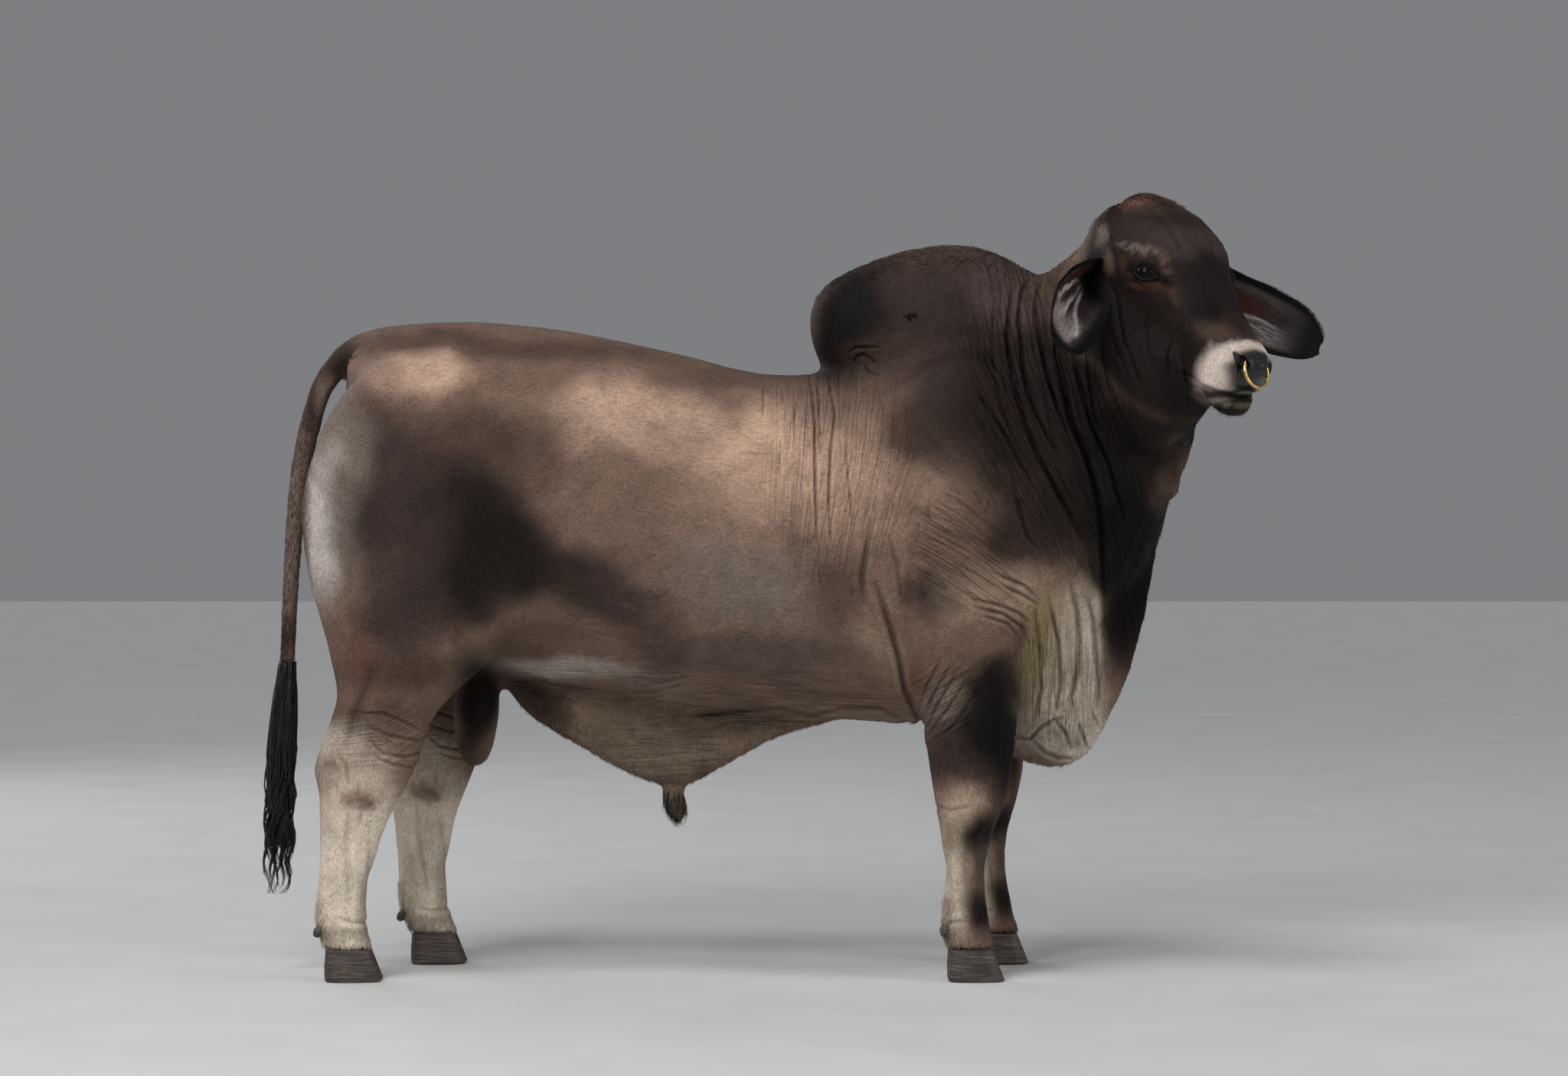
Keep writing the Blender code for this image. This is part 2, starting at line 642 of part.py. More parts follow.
def coordinates(obj):
    """An object's points as an array."""
    points = np.empty(len(obj.data.vertices) * 3)
    obj.data.vertices.foreach_get("co", points)
    return points.reshape(-1, 3)


def fade(values, start, end):
    """0 before start and 1 past end, with a soft step between."""
    t = np.clip((values - start) / (end - start), 0.0, 1.0)
    return t * t * (3 - 2 * t)


def head_share(points):
    """1 on the head and 0 on the neck and body, with a soft border."""
    u, _, w = ((points - np.array(POLL)) @ np.array(head_matrix().to_3x3())).T
    return fade(u + 0.577 * w, -0.06, 0.02) * fade(w, -0.30, -0.26) * fade(points[:, 0], 0.55, 0.62)


def softness(points):
    """How far each place may be smoothed: the trunk fully, and thin or fine parts a little."""
    x, y, z = points.T
    trunk = fade(z, 0.60, 0.80) * (1 - fade(x, 0.62, 0.80))
    rear_of_hump = np.exp(-(((x - 0.10) / 0.09) ** 2) - ((z - 1.44) / 0.06) ** 2)
    neck = fade(z, 1.20, 1.35) * (1 - fade(x, 0.72, 0.86))
    soft = np.maximum(0.16, np.maximum(trunk, neck) * (1 - 0.8 * rear_of_hump))
    soft *= 1 - 0.75 * np.exp(-(((x - 0.88) / 0.07) ** 2) - ((z - 1.17) / 0.10) ** 2)
    soft *= 1 - 0.95 * fade(-x, 0.97, 1.04) * (1 - fade(np.abs(y), 0.040, 0.060)) * fade(z, 1.25, 1.30)
    return soft * (1 - head_share(points)) + 0.12 * head_share(points)


def smooth(obj, weights, iterations):
    """Relaxes an object's surface, more where the weights are high."""
    group = obj.vertex_groups.new(name="soften")
    levels = np.round(weights, 2)
    for level in np.unique(levels):
        group.add(np.nonzero(levels == level)[0].tolist(), float(level), "REPLACE")
    modifier = obj.modifiers.new("Smooth", "SMOOTH")
    modifier.factor = 0.5
    modifier.iterations = iterations
    modifier.vertex_group = group.name
    bake(obj)


def thin_out(obj, triangles, weights):
    """Keeps the shape with fewer triangles, and more of them where the weights are high."""
    group = obj.vertex_groups.new(name="thin")
    levels = np.round(1.0 - weights, 1)
    for level in np.unique(levels):
        group.add(np.nonzero(levels == level)[0].tolist(), float(level), "REPLACE")
    modifier = obj.modifiers.new("Decimate", "DECIMATE")
    modifier.ratio = triangles / (2 * len(obj.data.polygons))
    modifier.use_collapse_triangulate = True
    modifier.vertex_group = group.name
    modifier.vertex_group_factor = 1.0
    bake(obj)


def copy_of(obj, name, collection):
    """A copy of an object with its own mesh."""
    copy = obj.copy()
    copy.data = obj.data.copy()
    copy.name = name
    collection.objects.link(copy)
    return copy


def cutters():
    """The collection that helper shapes are kept in."""
    return bpy.data.collections["cutters"]


def block(low, high, frame=None, grow=0.0):
    """A box between two corners, in a frame of its own."""
    low = Vector(low) - Vector((grow, grow, grow))
    high = Vector(high) + Vector((grow, grow, grow))
    form = bmesh.new()
    bmesh.ops.create_cube(form, size=1.0)
    form.transform(Matrix.Translation((low + high) / 2) @ Matrix.Diagonal((*(high - low), 1.0)))
    if frame:
        form.transform(frame)
    mesh = bpy.data.meshes.new("block")
    form.to_mesh(mesh)
    form.free()
    obj = bpy.data.objects.new("block", mesh)
    cutters().objects.link(obj)
    return obj


def boolean(obj, cutter, operation="DIFFERENCE"):
    """Cuts an object with a cutter, or keeps only what lies in the cutter, and removes the cutter."""
    cutter.hide_render = True
    cutter.display_type = "WIRE"
    modifier = obj.modifiers.new("Cut", "BOOLEAN")
    modifier.operation = operation
    modifier.object = cutter
    bake(obj)
    remove([cutter])


def keep_largest(obj):
    """Keeps only the largest closed surface of an object."""
    form = bmesh.new()
    form.from_mesh(obj.data)
    bmesh.ops.remove_doubles(form, verts=form.verts, dist=1e-6)
    form.verts.index_update()
    left = set(form.verts)
    shells = []
    while left:
        seed = left.pop()
        shell, edge = {seed}, [seed]
        while edge:
            for link in edge.pop().link_edges:
                for vertex in link.verts:
                    if vertex in left:
                        left.discard(vertex)
                        shell.add(vertex)
                        edge.append(vertex)
        shells.append(shell)
    shells.sort(key=len, reverse=True)
    extra = [v for shell in shells[1:] for v in shell]
    bmesh.ops.delete(form, geom=extra, context="VERTS")
    bmesh.ops.triangulate(form, faces=form.faces)
    form.to_mesh(obj.data)
    form.free()


def part_off(flesh, name, low, high, collection, frame=None):
    """Takes what lies in a block off the flesh as a node of its own, a thin seam apart."""
    piece = copy_of(flesh, name, collection)
    boolean(piece, block(low, high, frame), "INTERSECT")
    boolean(flesh, block(low, high, frame, GAP))
    keep_largest(piece)
    return piece


def grown(obj, distance):
    """A cutter made from a copy of an object with its surface moved out."""
    copy = copy_of(obj, "grown", cutters())
    form = bmesh.new()
    form.from_mesh(copy.data)
    form.normal_update()
    moves = [(v, v.normal.copy() * distance * min(v.calc_shell_factor(), 2.0)) for v in form.verts]
    for vertex, move in moves:
        vertex.co += move
    form.to_mesh(copy.data)
    form.free()
    return copy


def tilted(origin, along):
    """A frame at a point with its X axis along a line in the XZ plane."""
    angle = math.atan2(-along[1], along[0])
    return Matrix.Translation(origin) @ Matrix.Rotation(angle, 4, "Y")


def mirrored(place, side):
    """A place or way in the head's frame, given for the left, on either side."""
    return Vector((place.x, place.y * side, place.z))


def ball(centre, radius, collection, segments=28):
    """A plain ball."""
    return ellipsoid("ball", centre, (radius, radius, radius), collection, segments=segments)


def eye_frame(side):
    """The eye's frame in the world: X along the opening, Y up it and Z out of the eye."""
    out = mirrored(EYE_OUT, side)
    level = Vector((0.80, 0.0, 0.50))
    along = (level - out * level.dot(out)).normalized()
    up = out.cross(along)
    turn = Matrix((along, up, out)).transposed().to_4x4()
    return head_matrix() @ Matrix.Translation(mirrored(EYE_PLACE, side)) @ turn


def opening(side, sides=18):
    """An almond-shaped cutter that opens the lids and the flesh over them."""
    half_long, half_high = LID_OPENING
    outline = []
    for i in range(sides):
        turn = 2 * math.pi * i / sides
        across = math.cos(turn)
        height = half_high * math.sin(turn) * (1 - 0.35 * across**4)
        outline.append((half_long * across, height))
    loops = [[(x, y, z) for x, y in outline] for z in (0.006, 0.045)]
    bar = loft("opening", loops, cutters())
    bar.data.transform(eye_frame(side))
    return bar


def ear_form(side, name, collection, along=14, across=9):
    """A long hanging ear, cupped like a leaf, with a rolled root."""
    way = mirrored(EAR_WAY, side)
    face = Vector((math.cos(HEAD_PITCH), 0.0, math.sin(HEAD_PITCH)))
    face = (face - way * face.dot(way)).normalized()
    wide = way.cross(face)
    start = mirrored(EAR_PLACE, side) - way * 0.020
    shares = 1 - (1 - np.linspace(0.0, 1.0, along)) ** 1.35
    body = np.interp(shares, (0.0, 0.10, 0.30, 0.52, 0.75, 1.0), (0.030, 0.044, 0.064, 0.071, 0.068, 0.056))
    widths = body * np.sqrt(np.maximum(0.0, 1 - np.clip((shares - 0.72) / 0.285, 0.0, 1.0) ** 2.2))
    curls = np.interp(shares, (0.0, 0.15, 0.35, 0.60, 1.0), (2.20, 1.85, 1.25, 0.90, 0.65))
    points, faces = [], []
    for i, share in enumerate(shares):
        sag = -0.030 * math.sin(share * math.pi) - 0.010 * share
        for j in range(across):
            bend = curls[i] * (2 * j / (across - 1) - 1)
            lower = max(0.0, bend * side / curls[i]) * math.sin(share * math.pi)
            radius = widths[i] * 1.25 / curls[i] * (1 + (EAR_LOWER_EDGE[side] - 1) * lower)
            rise = radius + sag - radius * math.cos(bend)
            spot = start + way * share * (EAR_LENGTH + 0.020) + face * rise
            points.append(spot + wide * radius * math.sin(bend))
    for i in range(along - 1):
        for j in range(across - 1):
            a, b = i * across + j, i * across + j + 1
            faces.append((a, b, b + across, a + across))
    obj = mesh_object(name, points, faces, collection)
    obj.data.transform(head_matrix())
    solidify = obj.modifiers.new("Solidify", "SOLIDIFY")
    solidify.thickness = EAR_THICKNESS
    solidify.offset = -1.0 if side == LEFT else 1.0
    bake(obj)
    form = bmesh.new()
    form.from_mesh(obj.data)
    bmesh.ops.recalc_face_normals(form, faces=form.faces)
    form.to_mesh(obj.data)
    form.free()
    return obj


def lock_form(name, start, reach, width, lean, wave, phase, collection, count=7):
    """A flat, tapering lock of hair that hangs and bends."""
    section = ((-1.0, 0.0), (-0.45, 0.36), (0.45, 0.36), (1.0, 0.0), (0.45, -0.36), (-0.45, -0.36))
    rings = []
    for i in range(count):
        share = i / (count - 1)
        bend = wave * math.sin(share * 1.6 * math.pi * 2 + phase) * share
        centre = np.array(
            (
                start[0] + lean[0] * share**1.2 + bend,
                start[1] + lean[1] * share**1.2 + bend * 0.8 * math.cos(phase),
                start[2] - reach * share,
            )
        )
        turn = phase + share * 1.1
        side = np.array((math.cos(turn), math.sin(turn), 0.0))
        front = np.array((-math.sin(turn), math.cos(turn), 0.0))
        half = width * (0.55 + 0.9 * share) * (1 - share**2.2) + 0.0012
        rings.append([centre + half * (a * side + b * front) for a, b in section])
    return loft(name, rings, collection)


def make_switch(collection):
    """The tail's switch, flat locks fused over the end of the tail."""
    core = tube_form("tail_switch", SWITCH_CORE, collection, count=8, sides=10)
    locks = new_collection("locks")
    rng = np.random.default_rng(11)
    spine = spline(SWITCH_CORE, 41)
    for i in range(SWITCH_LOCKS):
        turn = i * 2.399963
        level = 0.02 + 0.80 * (i / SWITCH_LOCKS) ** 1.1
        x, y, z, radius = spine[round(level * 40)]
        start = (x + 0.6 * radius * math.cos(turn), y + 0.6 * radius * math.sin(turn), z - 0.004)
        bottom = TAIL_TIP_HEIGHT + 0.002 + rng.uniform(0.0, 0.16) * (i % 5 > 0)
        reach = min(start[2] - bottom, rng.uniform(0.26, 0.36))
        lean = (-0.012 + 0.026 * math.cos(turn), 0.022 * math.sin(turn))
        lock = lock_form(
            "lock", start, reach, rng.uniform(0.011, 0.015), lean, rng.uniform(0.007, 0.012), turn * 1.7, locks
        )
        lock.hide_render = True
    union = core.modifiers.new("Union", "BOOLEAN")
    union.operation = "UNION"
    union.operand_type = "COLLECTION"
    union.collection = locks
    union.solver = "EXACT"
    union.use_self = True
    bake(core)
    remove(list(locks.objects))
    bpy.data.collections.remove(locks)
    keep_largest(core)
    return core


def claw_form(name, x, y, inward, collection, sides=12):
    """One claw of a hoof, flat below and beside its fellow."""
    rings = []
    for height, back, front, half in CLAW:
        ring = []
        for i in range(sides):
            turn = 2 * math.pi * i / sides
            long, wide = math.cos(turn), math.sin(turn)
            reach = (front if long > 0 else -back) * np.sign(long) * abs(long) ** 0.75
            taper = 1 - 0.30 * max(0.0, long) ** 2
            spread = half * np.sign(wide) * abs(wide) ** 0.75 * taper
            if spread * inward > 0:
                spread *= 0.92
            ring.append((x + reach, y + spread, height))
        rings.append(ring)
    return loft(name, rings, collection)


def foot_places():
    """Each leg's name, the middle of its foot, the back of its fetlock, and its side."""
    places = []
    for kind, rows, step, top in (("hind", HIND_LEG, HIND_STEP, HIND_TOP), ("fore", FORE_LEG, FORE_STEP, FORE_TOP)):
        sole, fetlock = rows[-2], rows[-4]
        for name, side, ahead in (("right", RIGHT, 0.0), ("left", LEFT, step)):
            middle = (sole.back + sole.front) / 2 + step_at(HOOF_HEIGHT, ahead, top)
            heel = fetlock.back + step_at(fetlock.height, ahead, top)
            places.append((f"{name}_{kind}", middle, heel, side * sole.side, side))
    return places


def make_feet(legs, collection):
    """The claws of every hoof and the dewclaws above them."""
    nodes = []
    for name, middle, heel, across, side in foot_places():
        leg = legs[f"{name}_cannon"]
        for which, way in (("outer", side), ("inner", -side)):
            y = across + way * CLAW_SPREAD
            nodes.append(claw_form(f"{name}_hoof_{which}", middle, y, -way, collection))
            dewclaw = ellipsoid(
                f"{name}_dewclaw_{which}", (heel + 0.008, across + way * 0.024, 0.116), (0.013, 0.012, 0.018),
                collection, tilt=0.5, segments=8,
            )
            boolean(dewclaw, grown(leg, GAP * 1.3))
            keep_largest(dewclaw)
            nodes.append(dewclaw)
    return nodes


def lids_form(side, collection):
    """The eyelids, a shell about the eye with an almond-shaped opening."""
    centre = head_matrix() @ mirrored(EYE_PLACE, side)
    shell = ball(centre, EYE_RADIUS + GAP + LID_THICKNESS, collection, segments=16)
    boolean(shell, ball(centre, EYE_RADIUS + 2 * GAP, cutters(), segments=16))
    boolean(shell, opening(side))
    return shell


def ring_form(name, wire, collection):
    """The nose ring, or the channel that it passes through. It hangs from its top, swung a little ahead."""
    inverse = head_matrix().inverted().to_3x3()
    ahead = Vector((math.cos(HEAD_YAW), math.sin(HEAD_YAW), 0.0))
    down = inverse @ (ahead * math.sin(RING_SWING) - Vector((0.0, 0.0, math.cos(RING_SWING))))
    across = Vector((0.0, 1.0, 0.0))
    turn = Matrix((across, down, across.cross(down))).transposed().to_4x4()
    bpy.ops.mesh.primitive_torus_add(
        major_radius=RING_RADIUS, minor_radius=wire, major_segments=26, minor_segments=8
    )
    ring = bpy.context.object
    for owner in list(ring.users_collection):
        owner.objects.unlink(ring)
    collection.objects.link(ring)
    ring.name = name
    ring.data.transform(head_matrix() @ Matrix.Translation(RING_TOP + down * RING_RADIUS) @ turn)
    return ring


def finish(objects):
    """Gives each node its material and puts the origin under the middle of the model."""
    points = np.concatenate([coordinates(obj) for obj in objects])
    low, high = points.min(0), points.max(0)
    middle = (low + high) / 2
    for obj in objects:
        obj.data.transform(Matrix.Translation((-middle[0], -middle[1], -low[2])))
        obj.data.materials.clear()
        obj.data.materials.append(node_material(obj.name))
        obj.data.polygons.foreach_set("material_index", [0] * len(obj.data.polygons))
        obj.data.shade_smooth()
        obj.data.set_sharp_from_angle(angle=SHARP_ANGLE)


def node_material(name):
    """A node's own material."""
    for word, colour, roughness, metallic in FINISHES:
        if word in name:
            return make_material(name, colour, roughness, metallic)
    raise ValueError(name)


def sculpt_head(head):
    """The mouth line, the rims of the nostrils and the furrows of the brow, pressed into the head."""
    inverse = np.array(head_matrix().inverted())
    points = coordinates(head)
    local = points @ inverse[:3, :3].T + inverse[:3, 3]
    normals = np.empty(len(points) * 3)
    head.data.vertices.foreach_get("normal", normals)
    normals = normals.reshape(-1, 3)
    u, v, w = local.T
    slope = (MOUTH_FRONT[1] - MOUTH_CORNER[1]) / (MOUTH_FRONT[0] - MOUTH_CORNER[0])
    line = MOUTH_CORNER[1] + slope * (u - MOUTH_CORNER[0])
    along = fade(u, MOUTH_CORNER[0] - 0.012, MOUTH_CORNER[0] + 0.012)
    push = -0.008 * np.exp(-(((w - line) / 0.006) ** 2)) * along
    push += 0.003 * np.exp(-(((w - line - 0.014) / 0.008) ** 2)) * along
    push += 0.003 * np.exp(-(((w - line + 0.014) / 0.008) ** 2)) * along
    for side in (RIGHT, LEFT):
        away = np.linalg.norm((local - np.array(mirrored(NOSTRIL_PLACE, side))) / (0.026, 0.022, 0.018), axis=1)
        push += 0.004 * np.exp(-(((away - 1.0) / 0.35) ** 2))
    push += -0.004 * np.exp(-((v / 0.014) ** 2)) * fade(u, 0.03, 0.10) * (1 - fade(u, 0.24, 0.32)) * (w > -0.02)
    points += normals * push[:, None]
    head.data.vertices.foreach_set("co", points.ravel())
    head.data.update()


def make_head(flesh, collection):
    """Parts the head from the flesh and makes its muzzle, jaw, eyes, lids, ears and ring."""
    place = head_matrix()
    back = place @ Matrix.Translation((HEAD_BACK, 0.0, 0.0)) @ Matrix.Rotation(HEAD_LEAN, 4, "Y")
    front_box = ((0.0, -0.4, -0.6), (1.0, 0.4, 0.4))
    upper_box = ((-0.5, -0.4, HEAD_UNDER), (0.9, 0.4, 0.5))

    head = copy_of(flesh, "head", collection)
    boolean(head, block(*front_box, back, 0.03), "INTERSECT")
    boolean(head, block(*upper_box, place, 0.03), "INTERSECT")
    remesh = head.modifiers.new("Remesh", "REMESH")
    remesh.mode = "VOXEL"
    remesh.voxel_size = HEAD_VOXEL
    bake(head)
    smooth(head, np.ones(len(head.data.vertices)), 5)
    sculpt_head(head)
    u, _, w = ((coordinates(head) - np.array(POLL)) @ np.array(place.to_3x3())).T
    about_eye = np.exp(-(((u - EYE_PLACE.x) / 0.05) ** 2) - ((w - EYE_PLACE.z) / 0.05) ** 2)
    thin_out(head, HEAD_TRIANGLES, np.maximum(0.10 * fade(u, 0.44, 0.52), 0.30 * about_eye))
    boolean(head, block(*front_box, back), "INTERSECT")
    boolean(head, block(*upper_box, place), "INTERSECT")
    keep_largest(head)

    wedge = block(*front_box, back, GAP)
    boolean(wedge, block(*upper_box, place, GAP), "INTERSECT")
    thin_out(flesh, FLESH_TRIANGLES, np.zeros(len(flesh.data.vertices)))
    boolean(flesh, wedge)

    nodes = [head]
    for side, word in ((RIGHT, "right"), (LEFT, "left")):
        centre = place @ mirrored(EYE_PLACE, side)
        boolean(head, ball(centre, EYE_RADIUS + LID_THICKNESS + 2 * GAP, cutters(), segments=16))
        boolean(head, opening(side))
        lids = lids_form(side, collection)
        lids.name = f"{word}_lids"
        eye = ball(centre, EYE_RADIUS, collection, segments=16)
        eye.name = f"{word}_eye"
        nodes += [lids, eye]
    keep_largest(head)

    mouth = place @ tilted(
        (MOUTH_CORNER[0], 0.0, MOUTH_CORNER[1]),
        (MOUTH_FRONT[0] - MOUTH_CORNER[0], MOUTH_FRONT[1] - MOUTH_CORNER[1]),
    )
    nodes.append(part_off(head, "lower_jaw", (-0.30, -0.3, -0.3), (0.40, 0.3, 0.0), collection, mouth))
    muzzle = part_off(head, "muzzle", (SNOUT_SEAM, -0.3, -0.4), (0.9, 0.3, 0.3), collection, place)
    for side in (RIGHT, LEFT):
        spot = mirrored(NOSTRIL_PLACE, side)
        turn = place @ Matrix.Translation(spot) @ Matrix.Rotation(side * math.radians(28.0), 4, "Z")
        boolean(muzzle, ellipsoid("nostril", (0, 0, 0), NOSTRIL_RADII, cutters(), turn, segments=12))
        wing = turn @ Matrix.Rotation(side * math.radians(35.0), 4, "X")
        boolean(
            muzzle,
            ellipsoid("wing", (-0.002, side * 0.012, 0.008), WING_RADII, cutters(), wing, segments=10),
        )
    boolean(muzzle, ring_form("channel", RING_WIRE + GAP * 1.2, cutters()))
    keep_largest(muzzle)
    nodes += [muzzle, ring_form("nose_ring", RING_WIRE, collection)]
    for side, word in ((RIGHT, "right"), (LEFT, "left")):
        ear = ear_form(side, f"{word}_ear", collection)
        boolean(ear, grown(head, GAP * 1.3))
        keep_largest(ear)
        nodes.append(ear)
    return nodes


def part_flesh(flesh, collection):
    """Parts the flesh below the head into its nodes."""
    boolean(flesh, block((-1.5, -1.0, -0.2), (1.5, 1.0, HOOF_HEIGHT)))
    nodes = [flesh]
    for name, low, high, (origin, way) in PARTS:
        nodes.append(part_off(flesh, name, low, high, collection, tilted(origin, way)))
    keep_largest(flesh)
    return nodes


def main():
    """Builds the bull."""
    clear_scene()
    bull = new_collection("brahman_bull")
    new_collection("cutters")
    flesh = fuse(body_forms(bull) + head_forms(bull), "barrel", bull, VOXEL)
    smooth(flesh, softness(coordinates(flesh)), 60)
    nodes = [*make_head(flesh, bull)]
    nodes += part_flesh(flesh, bull)
    legs = {node.name: node for node in nodes}
    nodes += make_feet(legs, bull)

    tail = tube_form("tail", TAIL, bull, count=10, sides=11)
    boolean(tail, block((-1.5, -0.3, DOCK_SEAM - GAP), (-0.8, 0.3, 1.6)))
    boolean(tail, block((-1.5, -0.3, 0.3), (-0.8, 0.3, SWITCH_SEAM + GAP)))
    switch = make_switch(bull)
    boolean(switch, block((-1.5, -0.3, SWITCH_SEAM), (-0.8, 0.3, 1.6)))
    keep_largest(switch)
    nodes += [tail, switch]
    finish(nodes)


main()
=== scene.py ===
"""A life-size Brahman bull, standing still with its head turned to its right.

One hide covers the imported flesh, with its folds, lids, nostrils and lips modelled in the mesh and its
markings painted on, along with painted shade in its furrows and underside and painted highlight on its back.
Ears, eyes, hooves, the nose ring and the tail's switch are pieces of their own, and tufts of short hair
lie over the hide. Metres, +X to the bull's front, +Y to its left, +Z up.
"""
import json
import logging
import math
from collections.abc import Iterator
from contextlib import contextmanager
from dataclasses import dataclass, fields
from enum import Enum

import bmesh
import bpy
import numpy as np
from mathutils import Matrix, Vector
from mathutils.bvhtree import BVHTree

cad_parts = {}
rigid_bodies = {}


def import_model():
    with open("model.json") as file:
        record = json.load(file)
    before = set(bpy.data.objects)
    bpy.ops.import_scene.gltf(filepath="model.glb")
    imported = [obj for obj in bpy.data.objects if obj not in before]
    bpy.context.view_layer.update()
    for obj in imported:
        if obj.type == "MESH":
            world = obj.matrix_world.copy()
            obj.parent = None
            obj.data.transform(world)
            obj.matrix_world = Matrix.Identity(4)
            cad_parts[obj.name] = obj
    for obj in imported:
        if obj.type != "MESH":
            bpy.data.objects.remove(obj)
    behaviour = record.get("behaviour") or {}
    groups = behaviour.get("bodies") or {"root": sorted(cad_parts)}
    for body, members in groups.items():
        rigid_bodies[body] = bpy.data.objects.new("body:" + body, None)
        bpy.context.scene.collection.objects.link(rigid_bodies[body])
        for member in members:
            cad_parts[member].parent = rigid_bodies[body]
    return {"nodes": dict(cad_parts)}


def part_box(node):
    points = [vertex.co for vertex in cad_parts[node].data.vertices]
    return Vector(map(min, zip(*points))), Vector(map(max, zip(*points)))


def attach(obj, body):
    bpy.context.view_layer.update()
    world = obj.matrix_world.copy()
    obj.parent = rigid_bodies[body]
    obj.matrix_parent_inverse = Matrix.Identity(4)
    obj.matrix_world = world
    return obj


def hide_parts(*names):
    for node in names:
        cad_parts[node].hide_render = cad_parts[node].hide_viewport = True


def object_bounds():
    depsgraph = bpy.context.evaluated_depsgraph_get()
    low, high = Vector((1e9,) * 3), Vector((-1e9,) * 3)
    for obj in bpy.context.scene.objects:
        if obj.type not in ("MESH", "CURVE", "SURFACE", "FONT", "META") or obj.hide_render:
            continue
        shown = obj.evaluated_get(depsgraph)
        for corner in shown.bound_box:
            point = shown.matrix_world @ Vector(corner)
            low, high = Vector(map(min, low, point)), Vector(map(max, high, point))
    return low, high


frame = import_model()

CAD_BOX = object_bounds()
LOG = logging.getLogger("bull")
Array = np.ndarray
Object = bpy.types.Object
Socket = bpy.types.NodeSocket
Material = bpy.types.Material

# Sizes repeated from the part's source, in metres and in its own unshifted table
HEAD_YAW = math.radians(-50.5)
HEAD_PITCH = math.radians(38.0)
POLL = Vector((0.800, -0.150, 1.803))
EYE_PLACE = Vector((0.2455, 0.1210, -0.0385))
EYE_OUT = Vector((0.26, 0.89, 0.34)).normalized()
EYE_LEVEL = Vector((0.80, 0.0, 0.50))
EYE_RADIUS = 0.027
EAR_PLACE = Vector((0.100, 0.108, -0.122))
EAR_WAY = Vector((0.62, 0.78, -0.05)).normalized()
EAR_LENGTH = 0.415
EAR_LOWER_EDGE = {-1: 1.26, 1: 0.94}
NOSTRIL_PLACE = Vector((0.540, 0.038, -0.070))
RING_TOP = Vector((0.530, 0.000, -0.0553))
RING_RADIUS = 0.036
RING_WIRE = 0.0042
RING_SWING = math.radians(12.0)
MOUTH_CORNER = (0.430, -0.176)
MOUTH_FRONT = (0.560, -0.146)
HIND_STEP, HIND_TOP = 0.175, 1.00
FORE_STEP, FORE_TOP = 0.080, 0.90

# The photograph's frame, in pixels of 2048 by 1406, and its camera
IMAGE_SIZE = (2048, 1406)
METRES_PER_PIXEL = 0.0018
CAMERA_PLACE = Vector((-0.005, -9.0, 1.134))
FOCAL_PIXELS = CAMERA_PLACE.y / -METRES_PER_PIXEL
HORIZON_DROP = 63.0
SENSOR = 36.0

# How deep the coat is, how fine the meshes are, and the small gaps and margins between things
COAT_DEPTH = 0.0018
HIDE_TRIANGLES = 197000
VOXEL = 0.0052
FOLD_WIDTH = 0.56
FINE_DEPTH = 0.0014
SEAM_START, SEAM_GAP = 0.00003, 0.0012
ROOT_DEPTH, ROOT_PATCH = 0.0008, 0.0015
MAP_MARGIN = 0.002
BOX_MARGIN = 0.0004
MERGE_DISTANCE = 0.00002
PIECE_TRIANGLES = 190000
UNWRAP_TRIANGLES = 6000
SEED = 20


class Side(Enum):
    """The bull's two sides, by the sign of their way along Y."""

    RIGHT = -1
    LEFT = 1


class Slot(Enum):
    """The record's material slots."""

    COAT = "coat"
    HORN = "horn"
    EYE = "eye"
    HAIR = "hair"
    RING = "ring"


def tone(red: float, green: float, blue: float) -> Array:
    """A screen colour, 0 to 255, as linear light."""
    share = np.array((red, green, blue), float) / 255.0
    return np.where(share <= 0.04045, share / 12.92, ((share + 0.055) / 1.055) ** 2.4)


class Tone:
    """The bull's own colours, as linear light, some also laid as painted shade or highlight."""

    BLACK = tone(9, 8, 8)
    SOOT = tone(22, 17, 15)
    HUMP = tone(54, 42, 40)
    NECK = tone(36, 27, 25)
    HEAD = tone(34, 26, 24)
    UMBER = tone(68, 52, 45)
    BROWN = tone(112, 90, 78)
    DUN = tone(142, 117, 102)
    # Tan coat, also laid on the back and rump as a painted highlight.
    TAN = tone(182, 152, 133)
    SAND = tone(160, 138, 118)
    BEIGE = tone(134, 118, 98)
    CREAM = tone(206, 190, 180)
    ASH = tone(112, 100, 92)
    SLATE = tone(66, 59, 58)
    RUST = tone(98, 62, 46)
    SHANK = tone(186, 171, 154)
    PINK = tone(100, 88, 79)
    NOSE = tone(12, 10, 12)


def creases(*rows: tuple) -> tuple:
    """Furrows in the hide, from rows of pixels, half width in pixels, depth in metres and the darkness of
    their painted shade.
    """
    return tuple((np.array(points, float), *sizes) for points, *sizes in rows)


def patches(*rows: tuple) -> tuple:
    """Soft ovals of colour, from rows of middle and radii in pixels, tone, strength and a turn in degrees."""
    return tuple((*row[:6], math.radians(row[6] if len(row) > 6 else 0.0)) for row in rows)


def grains(*rows: tuple) -> tuple:
    """Families of fine wrinkles between two lines.

    Args:
        rows: Where each family's lines are given, its first and last line, how many lines lie between,
            whether they run upright, the oval that it fills, with its turn in degrees, and its strength.

    Returns:
        The families, with their turns in radians.
    """
    return tuple((*row[:5], (*row[5][:4], math.radians(row[5][4])), row[6]) for row in rows)


